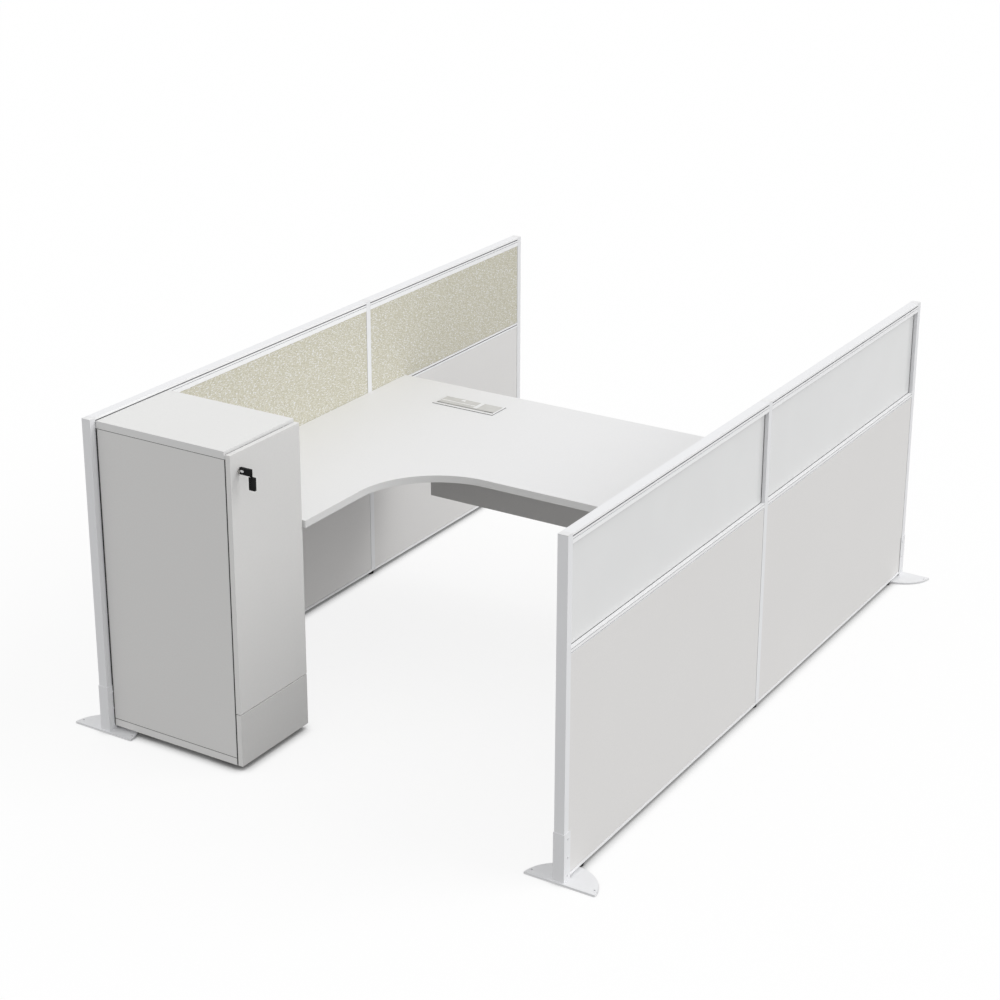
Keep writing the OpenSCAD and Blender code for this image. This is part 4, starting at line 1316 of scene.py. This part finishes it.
@dataclass(frozen=True)
class Studio:
    """A white room: a pale floor, an even sky and one broad lamp high over the right wall.

    The floor also lights the part from below, more under the worktop than in front of it.
    """

    floor_half: float = 40.0
    contact_shade_tint: float = 0.36
    floor_glow: float = 0.84
    bounce_tint: float = 0.10
    bounce_glow: float = 0.31
    front_loss: float = 0.12
    under_gain: float = 0.19
    side_fade: tuple[float, float] = (0.6, 0.9)
    near_fade: tuple[float, float] = (-1.35, -1.2)
    desk_fade: tuple[float, float] = (-0.7, -0.1)
    sky_low: float = 0.72
    sky_high: float = 0.80
    lamp_power: float = 1.08
    lamp_from: tuple[float, float, float] = (0.68, 0.36, 0.60)
    lamp_spread: float = 45.0
    contact: float = 0.05
    contact_fade: tuple[float, float] = (0.3, 0.95)

    def build(self) -> None:
        """Makes the floor, the sky and the lamp."""
        self._floor()
        self._sky()
        data = bpy.data.lights.new("broad_lamp", "SUN")
        data.energy = self.lamp_power
        data.angle = math.radians(self.lamp_spread)
        lamp = bpy.data.objects.new("broad_lamp", data)
        lamp.rotation_mode = "QUATERNION"
        lamp.rotation_quaternion = Vector(self.lamp_from).to_track_quat("Z", "Y")
        bpy.context.scene.collection.objects.link(lamp)

    @staticmethod
    def _seen(kit: NodeKit) -> Wire:
        """Returns 1 for rays that show the background, straight or in a reflection."""
        names = ("Is Camera Ray", "Is Glossy Ray", "Is Transmission Ray")
        straight, glossy, through = (kit.node("ShaderNodeLightPath", out=name) for name in names)
        return (straight + glossy + through) > 0.5

    def _floor(self) -> None:
        """Makes the floor, which looks white, keeps the shadows on it, and has painted shade where
        parts stand close over it.
        """
        bm = bmesh.new()
        bmesh.ops.create_grid(bm, x_segments=1, y_segments=1, size=self.floor_half)
        mesh = bpy.data.meshes.new("floor")
        bm.to_mesh(mesh)
        bm.free()
        floor = bpy.data.objects.new("floor", mesh)
        bpy.context.scene.collection.objects.link(floor)
        paint = bpy.data.materials.new("floor_paint")
        kit = NodeKit(paint)
        seen = self._seen(kit)
        near = {"Distance": self.contact}
        # Painted contact shade: where parts stand close over the floor, it shows darker and glows
        # less.
        clear = kit.node("ShaderNodeAmbientOcclusion", {"samples": 8}, near, "AO")
        clear = clear.step(*self.contact_fade)
        colour = kit.blend(clear, (self.contact_shade_tint,) * 3, (1.0, 1.0, 1.0))
        colour = kit.blend(seen, (self.bounce_tint,) * 3, colour)
        matt = kit.node("ShaderNodeBsdfDiffuse", {}, {"Color": colour})
        glow = kit.node("ShaderNodeEmission", {}, {"Color": (1, 1, 1, 1), "Strength": 1.0})
        place = kit.node("ShaderNodeTexCoord", out="Object")
        across, along = (kit.node("ShaderNodeSeparateXYZ", {}, {0: place}, i) for i in (0, 1))
        inside = (1.0 - (across * across).step(*self.side_fade)) * along.step(*self.near_fade)
        gain = along.step(*self.desk_fade) * self.under_gain - self.front_loss
        share = seen * clear * self.floor_glow + (1.0 - seen) * (inside * gain + self.bounce_glow)
        both = kit.node("ShaderNodeMixShader", {}, {0: share, 1: matt, 2: glow})
        kit.node("ShaderNodeOutputMaterial", {}, {"Surface": both})
        mesh.materials.append(paint)

    def _sky(self) -> None:
        """Makes the world: white where it is seen, and a soft overhead light elsewhere."""
        world = bpy.data.worlds.new("white_room")
        kit = NodeKit(world)
        way = kit.node("ShaderNodeTexCoord", out="Generated")
        up = kit.node("ShaderNodeSeparateXYZ", {}, {0: way}, 2)
        level = up.step(-0.1, 1.0) * (self.sky_high - self.sky_low) + self.sky_low
        light = kit.node("ShaderNodeBackground", {}, {"Color": (1, 1, 1, 1), "Strength": level})
        white = kit.node("ShaderNodeBackground", {}, {"Color": (1, 1, 1, 1), "Strength": 1.0})
        sockets = {0: self._seen(kit), 1: light, 2: white}
        both = kit.node("ShaderNodeMixShader", {}, sockets)
        kit.node("ShaderNodeOutputWorld", {}, {"Surface": both})
        bpy.context.scene.world = world


def main() -> None:
    """Builds the camera, the stage and every sub-assembly."""
    logging.basicConfig(level=logging.INFO, format="%(name)s: %(message)s")
    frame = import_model()
    bpy.context.scene.view_settings.view_transform = "Standard"
    Viewpoint().build()
    Studio().build()
    shop = Workshop(frame)
    for assembly in (ScreenWalls, Feet, Desk, CableBox, Locker, LockAndKey):
        assembly(shop).build()


if __name__ == "__main__":
    main()
